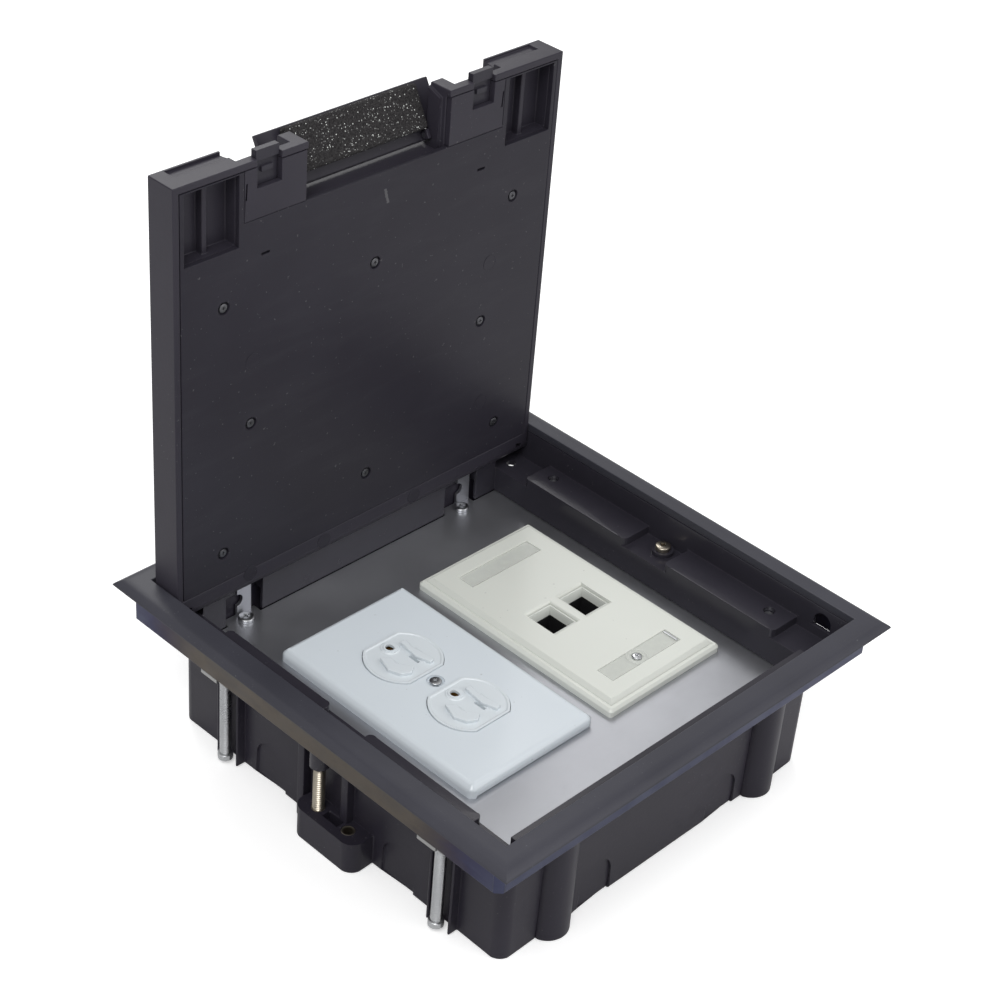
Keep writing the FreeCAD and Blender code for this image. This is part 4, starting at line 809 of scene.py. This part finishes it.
for row in windows["front"]:
    tab = plateOf([(dataPlate["x"] + x, row + y) for x, y in windows["tabOutline"]],
                  windows["tabZ"], windows["tab"])
    ends.append(soften(tab, 0.0002, 0.0, 30, 2, 40))
claim(joined(ends), "labelTabs", "zinc", "tray_body")
dataSpots = [(dataPlate["screwX"], row, 0.0480 if row in windows["front"] else 0.0466)
             for row in windows["rows"]]
claim(headSet(windows["head"], dataSpots), "dataScrewHeads", "zinc", "tray_body",
      ["data_screws"])
rings = []
for row in windows["front"]:
    begin("cylinder", vertices=40, radius=windows["ring"][0], depth=windows["ring"][1],
          location=(dataPlate["screwX"], row, windows["ringZ"]))
    pick(lambda face: abs(face.normal.z) > 0.9)
    bpy.ops.mesh.inset(thickness=windows["ring"][2], depth=0)
    bpy.ops.mesh.delete(type="FACE")
    pick(lambda edge: edge.is_boundary, "edges")
    bpy.ops.mesh.bridge_edge_loops()
    faceOut()
    editing(False)
    rings.append(soften(bpy.context.object, 0.0001, 0.0, 40, 1, 40))
claim(joined(rings), "labelRings", "clear", "tray_body")
claim(soften(cadCopy(["receptacle_strap"]), 0.00015, 0.003, 30), "strapBar", "steel", "tray_body",
      ["receptacle_strap"])
print("data plate made")

# foam behind the flap: a soft block with open cells
foamPlan = {"edge": 0.0009, "voxel": 0.0007, "pit": 0.00022, "deepest": 0.4, "fill": 0.9}
begin("cube", size=1, location=(0, 0, 0))
editing(False)
foam = bpy.context.object
spots = [v.co.copy() for v in nodes["flap_foam"].data.vertices]
origin = min(spots, key=lambda v: (round(v.x, 4), round(v.z, 4), v.y))
lines = sorted({tuple(round(c, 5) for c in v - origin) for v in spots}, key=lambda c: Vector(c).length)
edgesOut = [Vector(c) for c in lines if Vector(c).length > 1e-5]
axes = []
for step in edgesOut:
    if all(abs(step.normalized().dot(a.normalized())) < 0.02 for a in axes):
        axes.append(step)
    if len(axes) == 3:
        break
rows = [(a, b, c, start + (a + b + c) / 2) for start, a, b, c in zip(origin, *axes)]
foam.data.transform(Matrix(rows + [(0, 0, 0, 1)]))
apply(foam, "BEVEL", limit_method="ANGLE", width=foamPlan["edge"], segments=3)
only(foam)
editing(True)
faceOut()
bpy.ops.mesh.quads_convert_to_tris()
editing(False)
apply(foam, "REMESH", mode="VOXEL", voxel_size=foamPlan["voxel"])
for vertex in foam.data.vertices:
    pits = noise.noise(vertex.co * 900) + 0.6 * noise.noise(vertex.co * 1900 + Vector((5, 3, 1)))
    vertex.co += vertex.normal * foamPlan["pit"] * min(pits, foamPlan["deepest"])
claim(foam, "foamBlock", "foam", "flap", ["flap_foam"])
only(foam)
bpy.ops.object.shade_smooth()
print("foam made")

def seenDirectly(tree, usual, direct, output):
    # shows one shader to the camera and the other to the rest of the light
    choice = tree.nodes.new("ShaderNodeMixShader")
    path = tree.nodes.new("ShaderNodeLightPath")
    tree.links.new(path.outputs["Is Camera Ray"], choice.inputs[0])
    tree.links.new(usual.outputs[0], choice.inputs[1])
    tree.links.new(direct.outputs[0], choice.inputs[2])
    tree.links.new(choice.outputs[0], tree.nodes[output].inputs[0])


# floor and light
floorPlan = {"size": 14.0, "shade": 0.82, "glow": 0.42, "drop": -0.0004}
bpy.ops.object.select_all(action="DESELECT")
bpy.ops.mesh.primitive_plane_add(size=floorPlan["size"], location=(0, 0, floorPlan["drop"]))
floor = bpy.context.object
floor.name = "studioFloor"
white = bpy.data.materials.new("studioWhite")
white.use_nodes = True
tree = white.node_tree
matt = tree.nodes["Principled BSDF"]
matt.inputs["Base Color"].default_value = (floorPlan["shade"],) * 3 + (1,)
matt.inputs["Roughness"].default_value = 0.9
matt.inputs["Specular IOR Level"].default_value = 0.0
glow = tree.nodes.new("ShaderNodeEmission")
glow.inputs["Strength"].default_value = floorPlan["glow"]
both = tree.nodes.new("ShaderNodeAddShader")
tree.links.new(matt.outputs[0], both.inputs[0])
tree.links.new(glow.outputs[0], both.inputs[1])
seenDirectly(tree, matt, both, "Material Output")
floor.data.materials.append(white)

lamps = {
    "key": {"place": (-0.9, -0.5, 1.6), "size": 0.9, "power": 16},
    "fill": {"place": (0.6, -1.3, 0.9), "size": 1.2, "power": 7},
    "back": {"place": (0.7, 1.2, 1.3), "size": 0.9, "power": 10}}
aim = Vector((0, 0, 0.08))
for name, lamp in lamps.items():
    light = bpy.data.lights.new(name, "AREA")
    light.energy, light.size = lamp["power"], lamp["size"]
    placed = bpy.data.objects.new(name, light)
    placed.location = lamp["place"]
    placed.rotation_euler = (Vector(lamp["place"]) - aim).to_track_quat("Z", "Y").to_euler()
    bpy.context.collection.objects.link(placed)
world = bpy.data.worlds.new("studioAir")
bpy.context.scene.world = world
world.use_nodes = True
air = world.node_tree
backdrop = air.nodes["Background"]
backdrop.inputs["Strength"].default_value = 0.55
backdrop.inputs["Color"].default_value = (1, 1, 1, 1)
seen = air.nodes.new("ShaderNodeBackground")
seen.inputs["Color"].default_value = (1, 1, 1, 1)
seenDirectly(air, backdrop, seen, "World Output")
print("studio lit")
